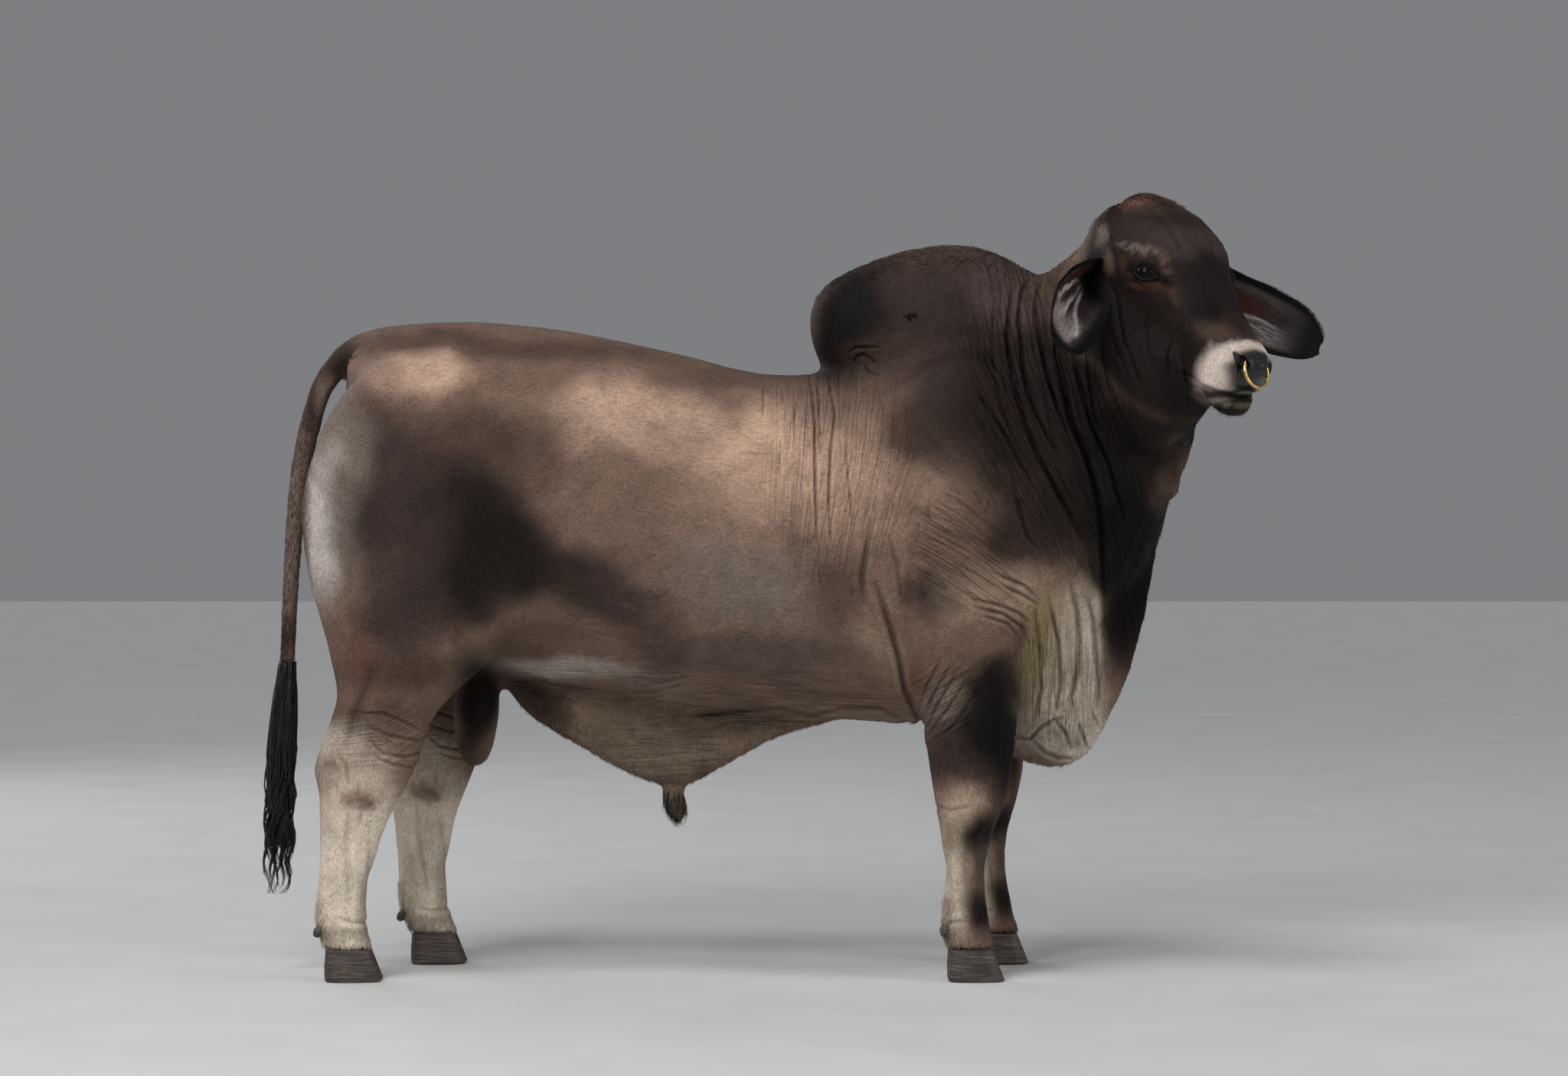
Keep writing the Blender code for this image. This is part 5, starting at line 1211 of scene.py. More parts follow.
@dataclass
class Hide:
    """The bull's one skin, from poll to coronets."""

    body: Body
    markings: Markings
    voxel: float = VOXEL
    triangles: int = HIDE_TRIANGLES
    FLESH = (
        "barrel", "head", "right_lids", "left_lids", "lower_jaw", "muzzle", "right_fore_cannon",
        "left_fore_cannon", "right_forearm", "left_forearm", "right_hind_cannon", "left_hind_cannon",
        "right_gaskin", "left_gaskin", "scrotum", "sheath", "tail_dock", "hump", "neck", "dewlap",
        "forequarters", "hindquarters", "tail",
    )

    def build(self) -> Object:
        """Models, paints and registers the hide.

        Returns:
            The hide.
        """
        hide = copy_nodes("hide", self.FLESH + ("right_eye", "left_eye"))
        self._drop_seams(hide)
        self._plug_nose(hide)
        remesh(hide, self.voxel)
        self._keep_largest(hide)
        self._soften(hide)
        self._refine(hide)
        self._sculpt(hide)
        thin_out(hide, self.triangles)
        self._dress(hide)
        return hide

    @staticmethod
    def _drop_seams(hide: Object) -> None:
        """Removes the faces that meet another node's face across a seam."""
        mesh = hide.data
        tree = BVHTree.FromPolygons([v.co for v in mesh.vertices], [p.vertices[:] for p in mesh.polygons])
        flags = np.zeros(len(mesh.polygons), bool)
        for polygon in mesh.polygons:
            start = polygon.center + polygon.normal * SEAM_START
            _, normal, index, _ = tree.ray_cast(start, polygon.normal, SEAM_GAP)
            flags[polygon.index] = index is not None and normal.dot(polygon.normal) < -0.7
        mesh.polygons.foreach_set("select", flags)
        with editing(hide, whole=False):
            bpy.ops.mesh.select_mode(type="FACE")
        mesh.polygons.foreach_set("select", flags)
        with editing(hide, whole=False):
            bpy.ops.mesh.delete(type="FACE")

    def _plug_nose(self, hide: Object) -> None:
        """Fills the ring's channel through the nose."""
        deselect()
        place = self.body.head @ (RING_TOP - Vector((0.006, 0, 0.012)))
        bpy.ops.mesh.primitive_uv_sphere_add(segments=16, ring_count=10, radius=0.013, location=place)
        plug = bpy.context.object
        bpy.ops.object.transform_apply(location=True, rotation=True, scale=True)
        pick(hide, plug)
        bpy.ops.object.join()

    @staticmethod
    def _keep_largest(hide: Object) -> None:
        """Drops all but the largest closed surface."""
        form = bmesh.new()
        form.from_mesh(hide.data)
        unseen, groups = set(form.verts), []
        while unseen:
            stack, group = [unseen.pop()], []
            while stack:
                vert = stack.pop()
                group.append(vert)
                for edge in vert.link_edges:
                    other = edge.other_vert(vert)
                    if other in unseen:
                        unseen.remove(other)
                        stack.append(other)
            groups.append(group)
        for group in sorted(groups, key=len)[:-1]:
            bmesh.ops.delete(form, geom=group, context="VERTS")
        form.to_mesh(hide.data)
        form.free()
        hide.data.update()

    def _soften(self, hide: Object) -> None:
        """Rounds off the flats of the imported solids, most on the trunk and least on the face."""
        points = coordinates(hide)
        x, y, z = self.body.table(points).T
        u = self.body.in_head(points)[:, 0]
        head = self.body.head_share(points)
        trunk = fade(z, 0.60, 0.85) * (1 - fade(x, 0.60, 0.75))
        tail = fade(-x, 0.97, 1.04) * (1 - fade(np.abs(y), 0.04, 0.06)) * fade(z, 1.3, 1.36)
        tail = np.clip(fade(-x, 1.07, 1.10) + tail, 0, 1)
        face = 0.26 - 0.16 * fade(u, 0.44, 0.50)
        weights = np.clip(0.35 + 0.65 * trunk - 0.6 * tail, 0.1, 1.0) * (1 - head) + face * head
        rounds = round(60 * (0.0052 / self.voxel) ** 2)
        points = relax(points, edges_of(hide), weights, rounds, 0.55)
        crest = (z - 1.43 - 0.10 * (x - 0.36)) / 0.07
        ridge = np.exp(-(((x - 0.36) / 0.24) ** 2) - crest ** 2) * (1 - head)
        below = -self.body.in_head(points)[:, 2]
        corner = head * np.exp(-((u - 0.40) / 0.045) ** 2) * fade(below, 0.10, 0.13)
        place_points(hide, relax(points, edges_of(hide), np.clip(0.9 * ridge + 0.6 * corner, 0, 1), rounds))

    def _refine(self, hide: Object) -> None:
        """Gives the eyes and muzzle a finer mesh."""
        spots = [(np.array(self.body.head @ mirrored(EYE_PLACE + EYE_OUT * 0.02, side)), 0) for side in Side]
        spots.append((np.array(self.body.head @ Vector((0.535, 0.0, -0.11))), 1))
        for level, reaches in enumerate(((0.062, 0.100), (0.048, 0.070))):
            middles = stored(hide.data.polygons, "center", 3)
            chosen = np.zeros(len(middles), bool)
            for spot, which in spots:
                chosen |= np.linalg.norm(middles - spot, axis=1) < reaches[which]
            if level == 0:
                depth, _ = self.body.furrows(self.body.pixels(middles))
                chosen |= np.abs(depth) > FINE_DEPTH
            hide.data.polygons.foreach_set("select", chosen)
            with editing(hide, whole=False):
                bpy.ops.mesh.subdivide(number_cuts=1)
            points = coordinates(hide)
            near = np.zeros(len(points))
            for spot, which in spots:
                away = np.linalg.norm(points - spot, axis=1)
                near = np.maximum(near, 1 - fade(away, reaches[which], reaches[which] + 0.01))
            place_points(hide, relax(points, edges_of(hide), 0.6 * near, 4 + 2 * level, 0.5))

    def _sculpt(self, hide: Object) -> None:
        """Presses folds, muscles, lids, nostrils and lips into the hide."""
        points = coordinates(hide)
        normals = normals_of(hide)
        pixels = self.body.pixels(points)
        depth, _ = self.body.furrows(pixels)
        rise = self.body.swelling(pixels) * (1 - self.body.head_share(points))
        push = rise * 0.6 - depth - COAT_DEPTH
        u, v, w = self.body.in_head(points).T
        push -= 0.0035 * np.exp(-((u / 0.07) ** 2) - (v / 0.09) ** 2) * (w > -0.06)
        push += self._ripples(points)
        points = points + normals * push[:, None]
        points = self._mouth(points, normals)
        points = self._nostrils(points)
        for side in Side:
            points = self._lids(points, side)
        place_points(hide, points)

    def _ripples(self, points: Array) -> Array:
        """Fine rolling of the loose skin of the neck and shoulder, in metres."""
        x, y, z = self.body.table(points).T
        loose = fade(x, 0.10, 0.35) * (1 - self.body.head_share(points)) * fade(z, 0.5, 0.7)
        wave = np.sin(70 * x + 9 * np.sin(11 * z + 3 * y)) * np.sin(23 * z + 4 * np.sin(17 * x))
        return 0.0009 * wave * loose

    def _mouth(self, points: Array, normals: Array) -> Array:
        """Presses the line of the mouth in, with a lip on either side of it."""
        u, v, w = self.body.in_head(points).T
        slope = (MOUTH_FRONT[1] - MOUTH_CORNER[1]) / (MOUTH_FRONT[0] - MOUTH_CORNER[0])
        line = MOUTH_CORNER[1] + slope * (u - MOUTH_CORNER[0])
        share = fade(u, MOUTH_CORNER[0] - 0.012, MOUTH_CORNER[0] + 0.012)
        push = -0.0055 * bell(w - line, 0.0, 0.0032)
        push += 0.0022 * bell(w - line, 0.010, 0.006)
        push += 0.0022 * bell(w - line, -0.010, 0.006)
        return points + normals * (push * share)[:, None]

    def _nostrils(self, points: Array) -> Array:
        """Opens the nostrils, each with a rolled rim."""
        local = self.body.in_head(points)
        u, v, w = local.T
        up = (w - NOSTRIL_PLACE.z) / 0.0175
        across = (np.abs(v) - NOSTRIL_PLACE.y - 0.0055 - 0.0045 * up - 0.0040 * np.abs(up) ** 2) / 0.0105
        away = np.sqrt(across ** 2 + up ** 2)
        front = fade(u, 0.485, 0.515)
        philtrum = bell(v, 0.0, 0.0035) * fade(-w, 0.090, 0.100)
        swell = np.exp(-((v / 0.050) ** 2) - ((w + 0.082) / 0.036) ** 2)
        sink = -0.026 * np.exp(-(away ** 3)) + 0.0032 * bell(away, 1.40, 0.35)
        local[:, 0] += (sink + 0.0085 * swell - 0.0022 * philtrum) * front
        return carried(local, self.body.head)

    def _lids(self, points: Array, side: Side) -> Array:
        """Fits the skin over the eyeball as two lids with folds round them.

        Args:
            points: The hide's points.
            side: Which eye.

        Returns:
            The moved points.
        """
        eye = self.body.eye_frame(side)
        local = carried(points, eye.inverted())
        radius = np.linalg.norm(local, axis=1)
        near = np.nonzero((radius < 0.085) & (local[:, 2] > -0.012))[0]
        q, r = local[near], radius[near]
        gap = self.body.almond(q)
        inside = EYE_RADIUS - 0.0045
        rim = EYE_RADIUS + 0.0040 - 0.0010 * fade(gap, 0.003, 0.009)
        lid = inside + (rim - inside) * fade(gap, -0.0010, 0.0010)
        base = np.maximum(r, EYE_RADIUS + 0.0025)
        target = lid + (base - lid) * fade(gap, 0.006, 0.026)
        upper = fade(q[:, 1], -0.012, 0.004)
        for spot, deep, width, low in ((0.0085, 0.0030, 0.0017, 0.5), (0.0150, 0.0022, 0.0020, 0.8),
                                       (0.0215, 0.0018, 0.0022, 0.3), (0.0300, 0.0016, 0.0030, 0.2)):
            crease = deep * bell(gap, spot, width) - 0.4 * deep * bell(gap - spot, 2 * width, 1.4 * width)
            target = target - crease * (upper + low * (1 - upper))
        share = (1 - fade(r, 0.060, 0.080)) * fade(q[:, 2], -0.010, 0.004)
        points = points.copy()
        points[near] = carried(q * (1 + (target / r - 1) * share)[:, None], eye)
        return points

    def _dress(self, hide: Object) -> None:
        """Paints the hide, gives it its material and registers it."""
        place_points(hide, held(coordinates(hide)))
        points = coordinates(hide)
        paint(hide, "tone", self.markings.colours(points))
        paint(hide, "mask", self.masks(points))
        pixels = self.body.pixels(points)
        # The furrows' distance and the darkness of their painted shade, for the coat's shader.
        paint(hide, "crease", self.body.furrows(pixels)[1])
        flow = self.body.flow(pixels)
        flow[:, 2] *= 1 - self.body.head_share(points)
        paint(hide, "flow", flow)
        hide.data.materials.clear()
        finish_piece(hide, Coat().material())
        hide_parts(*self.FLESH)
        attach(hide, "root")

    def masks(self, points: Array) -> Array:
        """Where hair hangs upright, where the skin is bare and wet, and where it wrinkles."""
        x, y, z = self.body.table(points).T
        u, v, w = self.body.in_head(points).T
        head = self.body.head_share(points)
        upright = np.clip((1 - fade(z, 0.62, 0.80)) + fade(x, 0.30, 0.62) + fade(-x, 0.98, 1.05), 0, 1)
        pad = fade(u, 0.512, 0.528) * fade(w, -0.120, -0.112) * head
        lids = 1 - fade(self.body.lid_gap(points), 0.0025, 0.0045)
        wrinkled = fade(x, 0.15, 0.45) * (1 - head) * fade(z, 0.45, 0.6)
        return np.stack([upright, np.clip(pad + 0.25 * lids, 0, 1), wrinkled], 1)


@dataclass
class Strands:
    """Where tufts stand and what they are like, one row for each."""

    roots: Array
    ups: Array
    ways: Array
    lengths: Array
    widths: Array
    lifts: Array
    colours: Array
    places: Array


def grow_hair(name: str, strands: Strands, long: bool) -> None:
    """Makes, paints and registers the mesh of many tufts, in pieces of a bounded size.

    Args:
        name: The pieces' name.
        strands: The tufts.
        long: Whether each tuft bends, with a ring half way along it.
    """
    if long:
        faces = ((0, 2, 1), (0, 1, 4, 3), (0, 3, 5, 2), (1, 2, 5, 4), (3, 4, 6), (3, 6, 5), (4, 5, 6))
        patch = ((-1, -1), (0, -1), (1, -1), (-1, 0), (0, 0), (1, 0), (0, 1))
    else:
        faces = ((0, 2, 1), (0, 1, 3), (0, 3, 2), (1, 2, 3))
        patch = ((-1, -1), (1, -1), (-1, 1), (1, 1))
    triangles = sum(len(face) - 2 for face in faces)
    limit = PIECE_TRIANGLES // triangles
    ups = strands.ups
    ways = strands.ways - ups * np.sum(strands.ways * ups, axis=1)[:, None]
    ways /= np.maximum(np.linalg.norm(ways, axis=1), 1e-9)[:, None]
    sides = np.cross(ways, ups)
    half, high = strands.widths[:, None] / 2, strands.widths[:, None] * (0.6 if long else 0.38)
    roots = strands.roots - ups * ROOT_DEPTH
    tips = strands.roots + ways * strands.lengths[:, None] + ups * strands.lifts[:, None]
    rings = [roots + sides * half, roots - sides * half, roots + ups * high]
    if long:
        middle = strands.roots + ways * (strands.lengths * 0.52)[:, None]
        middle = middle + ups * (strands.lifts * 0.85)[:, None]
        rings += [middle + sides * half * 0.8, middle - sides * half * 0.8, middle + ups * high * 0.8]
    points = held(np.stack([*rings, tips], 1))
    corners = np.concatenate([np.array(face) for face in faces])
    starts = np.cumsum([0] + [len(face) for face in faces[:-1]])
    spots = np.array(patch, float) * ROOT_PATCH
    finish = bpy.data.materials.get("tuft_hair") or TuftHair().material()
    for part, first in enumerate(range(0, len(points), limit)):
        chosen = slice(first, first + limit)
        block = points[chosen]
        count, size = block.shape[:2]
        mesh = bpy.data.meshes.new(f"{name}_{part + 1}")
        mesh.vertices.add(count * size)
        mesh.vertices.foreach_set("co", block.astype(np.float32).ravel())
        mesh.loops.add(count * len(corners))
        index = (np.arange(count)[:, None] * size + corners).astype(np.int32)
        mesh.loops.foreach_set("vertex_index", index.ravel())
        mesh.polygons.add(count * len(faces))
        first_loops = (np.arange(count)[:, None] * len(corners) + starts).astype(np.int32)
        mesh.polygons.foreach_set("loop_start", first_loops.ravel())
        mesh.update(calc_edges=True)
        layer = mesh.uv_layers.new(name="OFBake")
        flat = strands.places[chosen][:, None, :] + spots[corners][None, :, :]
        layer.data.foreach_set("uv", flat.astype(np.float32).ravel())
        obj = add_object(mesh.name, mesh)
        paint(obj, "tone", np.repeat(strands.colours[chosen], size, axis=0))
        mesh.materials.append(finish)
        mesh.polygons.foreach_set("use_smooth", np.ones(count * len(faces), bool))
        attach(obj, "root")
        LOG.info("%s: %d triangles", obj.name, count * triangles)


@dataclass(frozen=True)
class Growth:
    """One kind of hair on the hide: how many tufts, and their size in metres."""

    name: str
    count: int
    length: float
    width: float
    lift: float
    ruffle: float = 0.16
    long: bool = True
    colour: tuple = ()
    tint: float = 0.0


class Unwrap:
    """The hide's own shape laid flat, which gives each tuft its place on the map."""

    def __init__(self, hide: Object) -> None:
        """Unwraps a plain copy of the hide, and removes it."""
        copy = add_object("unwrap", hide.data.copy())
        thin_out(copy, UNWRAP_TRIANGLES)
        with editing(copy):
            bpy.ops.mesh.quads_convert_to_tris()
            bpy.ops.uv.smart_project(angle_limit=math.radians(66), island_margin=0.004)
        mesh = copy.data
        self.corners = np.array([p.vertices[:] for p in mesh.polygons])
        self.points = coordinates(copy)
        self.flat = stored(mesh.uv_layers.active.data, "uv", 2).reshape(-1, 3, 2)
        self.tree = BVHTree.FromPolygons(self.points.tolist(), self.corners.tolist())
        bpy.data.objects.remove(copy, do_unlink=True)

    def places(self, points: Array) -> Array:
        """Each point's place on the map."""
        index = np.empty(len(points), int)
        spots = np.empty((len(points), 3))
        for i, point in enumerate(points.tolist()):
            spot, _, index[i], _ = self.tree.find_nearest(point)
            spots[i] = spot
        a, b, c = (self.points[self.corners[index, k]] for k in range(3))
        ab, ac, ap = b - a, c - a, spots - a
        d00, d01, d11 = np.sum(ab * ab, 1), np.sum(ab * ac, 1), np.sum(ac * ac, 1)
        d20, d21 = np.sum(ap * ab, 1), np.sum(ap * ac, 1)
        whole = np.maximum(d00 * d11 - d01 * d01, 1e-18)
        v = (d11 * d20 - d01 * d21) / whole
        w = (d00 * d21 - d01 * d20) / whole
        flat = self.flat[index]
        flat = flat[:, 0] * (1 - v - w)[:, None] + flat[:, 1] * v[:, None] + flat[:, 2] * w[:, None]
        return np.clip(flat, MAP_MARGIN, 1 - MAP_MARGIN)


@dataclass
class Tufts:
    """The coat: short tufts that lie flat all over, and longer hair where it breaks the form."""

    body: Body
    markings: Markings
    hide: Object
    thinner: float = 1.0
    KINDS = (
        Growth("coat_short", 170000, 0.0105, 0.0011, 0.0007, 0.16, long=False),
        Growth("coat_crown", 2400, 0.0180, 0.0012, 0.0030, 0.40, colour=(104, 72, 58), tint=0.45),
        Growth("coat_crest", 3200, 0.0150, 0.0013, 0.0026, 0.25),
        Growth("coat_tail", 3400, 0.0190, 0.0013, 0.0016, 0.14),
        Growth("coat_coronet", 3600, 0.0150, 0.0012, 0.0022, 0.16),
        Growth("coat_fetlock", 1100, 0.0260, 0.0013, 0.0060, 0.22),
        Growth("coat_prepuce", 260, 0.0340, 0.0013, 0.0030, 0.20, colour=(16, 13, 12), tint=0.8),
        Growth("coat_belly", 2400, 0.0170, 0.0013, 0.0026, 0.25),
        Growth("coat_edge", 1500, 0.0140, 0.0012, 0.0022, 0.25),
        Growth("coat_chin", 260, 0.0120, 0.0008, 0.0050, 0.40, colour=(40, 34, 32), tint=0.6),
        Growth("coat_lash", 170, 0.0110, 0.0007, 0.0036, 0.16, colour=(9, 8, 8), tint=1.0),
    )

    def build(self) -> None:
        """Grows every kind of hair."""
        mesh = self.hide.data
        mesh.calc_loop_triangles()
        corners = stored(mesh.loop_triangles, "vertices", 3, kind=np.int32)
        points, normals = coordinates(self.hide), normals_of(self.hide)
        middles = points[corners].mean(1)
        facing = normals[corners].mean(1)
        areas = stored(mesh.loop_triangles, "area")
        unwrap = Unwrap(self.hide)
        rng = np.random.default_rng(SEED)
        long_hair = []
        for kind in self.KINDS:
            weights = areas * self._where(kind.name, middles, facing)
            if weights.sum() <= 0:
                continue
            count = round(kind.count * self.thinner)
            index = rng.choice(len(corners), count, p=weights / weights.sum())
            share = rng.random((count, 2))
            folded = share.sum(1) > 1
            share[folded] = 1 - share[folded]
            blend = np.stack([1 - share.sum(1), share[:, 0], share[:, 1]], 1)[..., None]
            roots, ups = ((values[corners[index]] * blend).sum(1) for values in (points, normals))
            ups /= np.linalg.norm(ups, axis=1)[:, None]
            strands = self._strands(kind, roots, ups, rng)
            strands.places = unwrap.places(roots)
            if kind.long:
                long_hair.append(strands)
            else:
                grow_hair(kind.name, strands, False)
        joined = (np.concatenate([getattr(s, field.name) for s in long_hair]) for field in fields(Strands))
        grow_hair("coat_long", Strands(*joined), True)

    def _where(self, name: str, points: Array, facing: Array) -> Array:
        """How thickly a kind of hair grows at each place.

        Args:
            name: The kind's name.
            points: Places on the hide.
            facing: The hide's normals there.

        Returns:
            A density for each place.
        """
        x, y, z = self.body.table(points).T
        u, v, w = self.body.in_head(points).T
        head = self.body.head_share(points)
        side = np.abs(y - self.body.neck_middle(x, z))
        gap = self.body.lid_gap(points)
        pad = fade(u, 0.505, 0.520) * fade(w, -0.130, -0.118) * head
        bare = np.clip(pad + (gap < 0.006) + (head > 0.5) * (u > 0.50) * (w < -0.13), 0, 1)
        furred = (1 - bare) * (gap > 0.006)
        if name == "coat_short":
            lines = 1 - np.clip(1.6 * self.markings.creased(self.body.pixels(points), 5.0), 0, 1)
            legs = 0.5 * (1 - fade(z, 0.30, 0.50))
            return furred * lines * (1 + 0.9 * head + legs + 0.6 * fade(-x, 1.07, 1.10))
        if name == "coat_crown":
            return head * np.exp(-(((u - 0.012) / 0.040) ** 2) - (v / 0.070) ** 2) * (w > -0.05)
        if name == "coat_crest":
            return (1 - head) * fade(facing[:, 2], 0.45, 0.75) * fade(z, 1.42, 1.50) * fade(x, 0.02, 0.12)
        if name == "coat_tail":
            return fade(-x, 1.085, 1.10) * (z < 1.34) * (z > 0.70)
        if name == "coat_coronet":
            return 1 - fade(z, 0.082, 0.105)
        if name == "coat_fetlock":
            return (z > 0.09) * (z < 0.20) * fade(-facing[:, 0], 0.35, 0.75) * (side > 0.1)
        if name == "coat_prepuce":
            return (x > -0.34) * (x < -0.20) * (z < 0.435) * (side < 0.06)
        if name == "coat_belly":
            return (z < 0.66) * (side < 0.08) * (x > -0.64) * (x < 0.70) * fade(-facing[:, 2], 0.1, 0.6)
        if name == "coat_edge":
            return (1 - head) * (x > 0.62) * (z < 1.42) * fade(facing[:, 0], 0.55, 0.85)
        if name == "coat_chin":
            return head * (u > 0.42) * (w < -0.165) * fade(-facing[:, 2], 0.2, 0.6)
        return (gap > 0.0012) * (gap < 0.0040) * fade(facing[:, 2], -0.35, 0.0)

    def _lie(self, points: Array, ups: Array) -> Array:
        """Which way the hair lies at each place."""
        x, _, z = self.body.table(points).T
        head = self.body.head_share(points)[:, None]
        trunk = np.tile((-0.80, 0.0, -0.50), (len(points), 1))
        down = np.array((-0.10, 0.0, -1.0))
        for way, share in (
            (np.array((-0.45, 0.0, -0.85)), fade(x, 0.35, 0.60)),
            (down, 1 - fade(z, 0.55, 0.85)),
            (down, fade(-x, 1.05, 1.09)),
            (np.array((-0.30, 0.0, -0.9)), fade(-x, 0.72, 0.98) * (1 - fade(z, 1.20, 1.42))),
        ):
            trunk = trunk + (way - trunk) * share[:, None]
        turn = np.array(self.body.head.to_3x3())
        face = turn @ np.array((0.9, 0.0, -0.30))
        ways = trunk * (1 - head) + face * head
        return ways - ups * np.sum(ways * ups, axis=1)[:, None]

    def _strands(self, kind: Growth, roots: Array, ups: Array, rng: np.random.Generator) -> Strands:
        """The tufts of one kind, at their roots.

        Args:
            kind: The kind of hair.
            roots: Where each tuft stands.
            ups: The hide's normals there.
            rng: Gives the tufts their variety.

        Returns:
            The tufts, with no place on the map yet.
        """
        count = len(roots)
        _, _, z = self.body.table(roots).T
        head = self.body.head_share(roots)
        ways = self._lie(roots, ups)
        if kind.name == "coat_lash":
            ways = ups * 0.2 + np.array((0.0, 0.0, -0.25)) + ways * 0.2
        ways /= np.maximum(np.linalg.norm(ways, axis=1), 1e-9)[:, None]
        side = np.cross(ups, ways)
        swirl = 0.20 * np.sin(roots[:, 0] * 21 + 3 * np.sin(roots[:, 2] * 17)) * np.sin(roots[:, 2] * 24)
        ways = ways + side * (rng.normal(0, kind.ruffle, count) + swirl)[:, None]
        size = 1.0
        if kind.name == "coat_short":
            size = (1 - 0.50 * head) * (1 - 0.30 * (1 - fade(z, 0.30, 0.60)))
        lengths = kind.length * size * rng.uniform(0.72, 1.28, count)
        widths = kind.width * rng.uniform(0.75, 1.25, count)
        lifts = kind.lift * rng.uniform(0.4, 1.3, count)
        colours = self.markings.colours(roots)
        if kind.colour:
            colours = colours + (tone(*kind.colour) - colours) * kind.tint
        colours = np.clip(colours * rng.normal(1.02, 0.08, count)[:, None], 0.0, 1.0)
        return Strands(roots, ups, ways, lengths, widths, lifts, colours, np.zeros((count, 2)))


@dataclass
class Eyes:
    """The two eyeballs, each with a low cornea."""

    body: Body
    rise: float = 0.0016

    def build(self) -> None:
        """Models and registers both eyes."""
        finish = EyeBall().material()
        for side in Side:
            name = f"{side.name.lower()}_eye"
            deselect()
            bpy.ops.mesh.primitive_uv_sphere_add(segments=72, ring_count=48, radius=EYE_RADIUS)
            eye = bpy.context.object
            eye.name = f"{name}_ball"
            points = coordinates(eye)
            a, b, c = points.T
            away = np.sqrt(a ** 2 + b ** 2)
            front = (c > 0) * (1 - fade(away, 0.010, 0.019))
            points *= (1 + self.rise / EYE_RADIUS * front)[:, None]
            pupil = (np.abs(a / 0.0100) ** 2.6 + np.abs(b / 0.0048) ** 2.6) ** (1 / 2.6)
            iris = np.where(pupil < 1.0, 0.32 * pupil, 0.34 + 0.38 * np.clip((away - 0.005) / 0.0135, 0, 1))
            white = 0.76 + 0.24 * np.clip((away - 0.0185) / 0.008, 0, 1)
            iris = np.where((c > 0) & (away < 0.0185), iris, white)
            place_points(eye, points)
            layer = eye.data.attributes.new("iris", "FLOAT", "POINT")
            layer.data.foreach_set("value", iris.astype(np.float32))
            eye.data.transform(self.body.eye_frame(side))
            finish_piece(eye, finish)
            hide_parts(name)
            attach(eye, "root")


@dataclass(frozen=True)
class EarLook:
    """How one ear is marked inside, across it from -1 at its upper edge to 1 at its lower edge, with painted
    shade in its hollow and painted light on its pale hair.
    """

    pale: tuple
    pale_run: tuple
    rust: tuple
    valleys: tuple
    ridges: tuple
    # Where the ear's hollow is darkened as painted shade, across it and then how far along.
    hollow: tuple
    hollow_end: float
    # How much the pale hair is brightened, as painted light where the lamps leave the ear's inside in shade.
    light: float


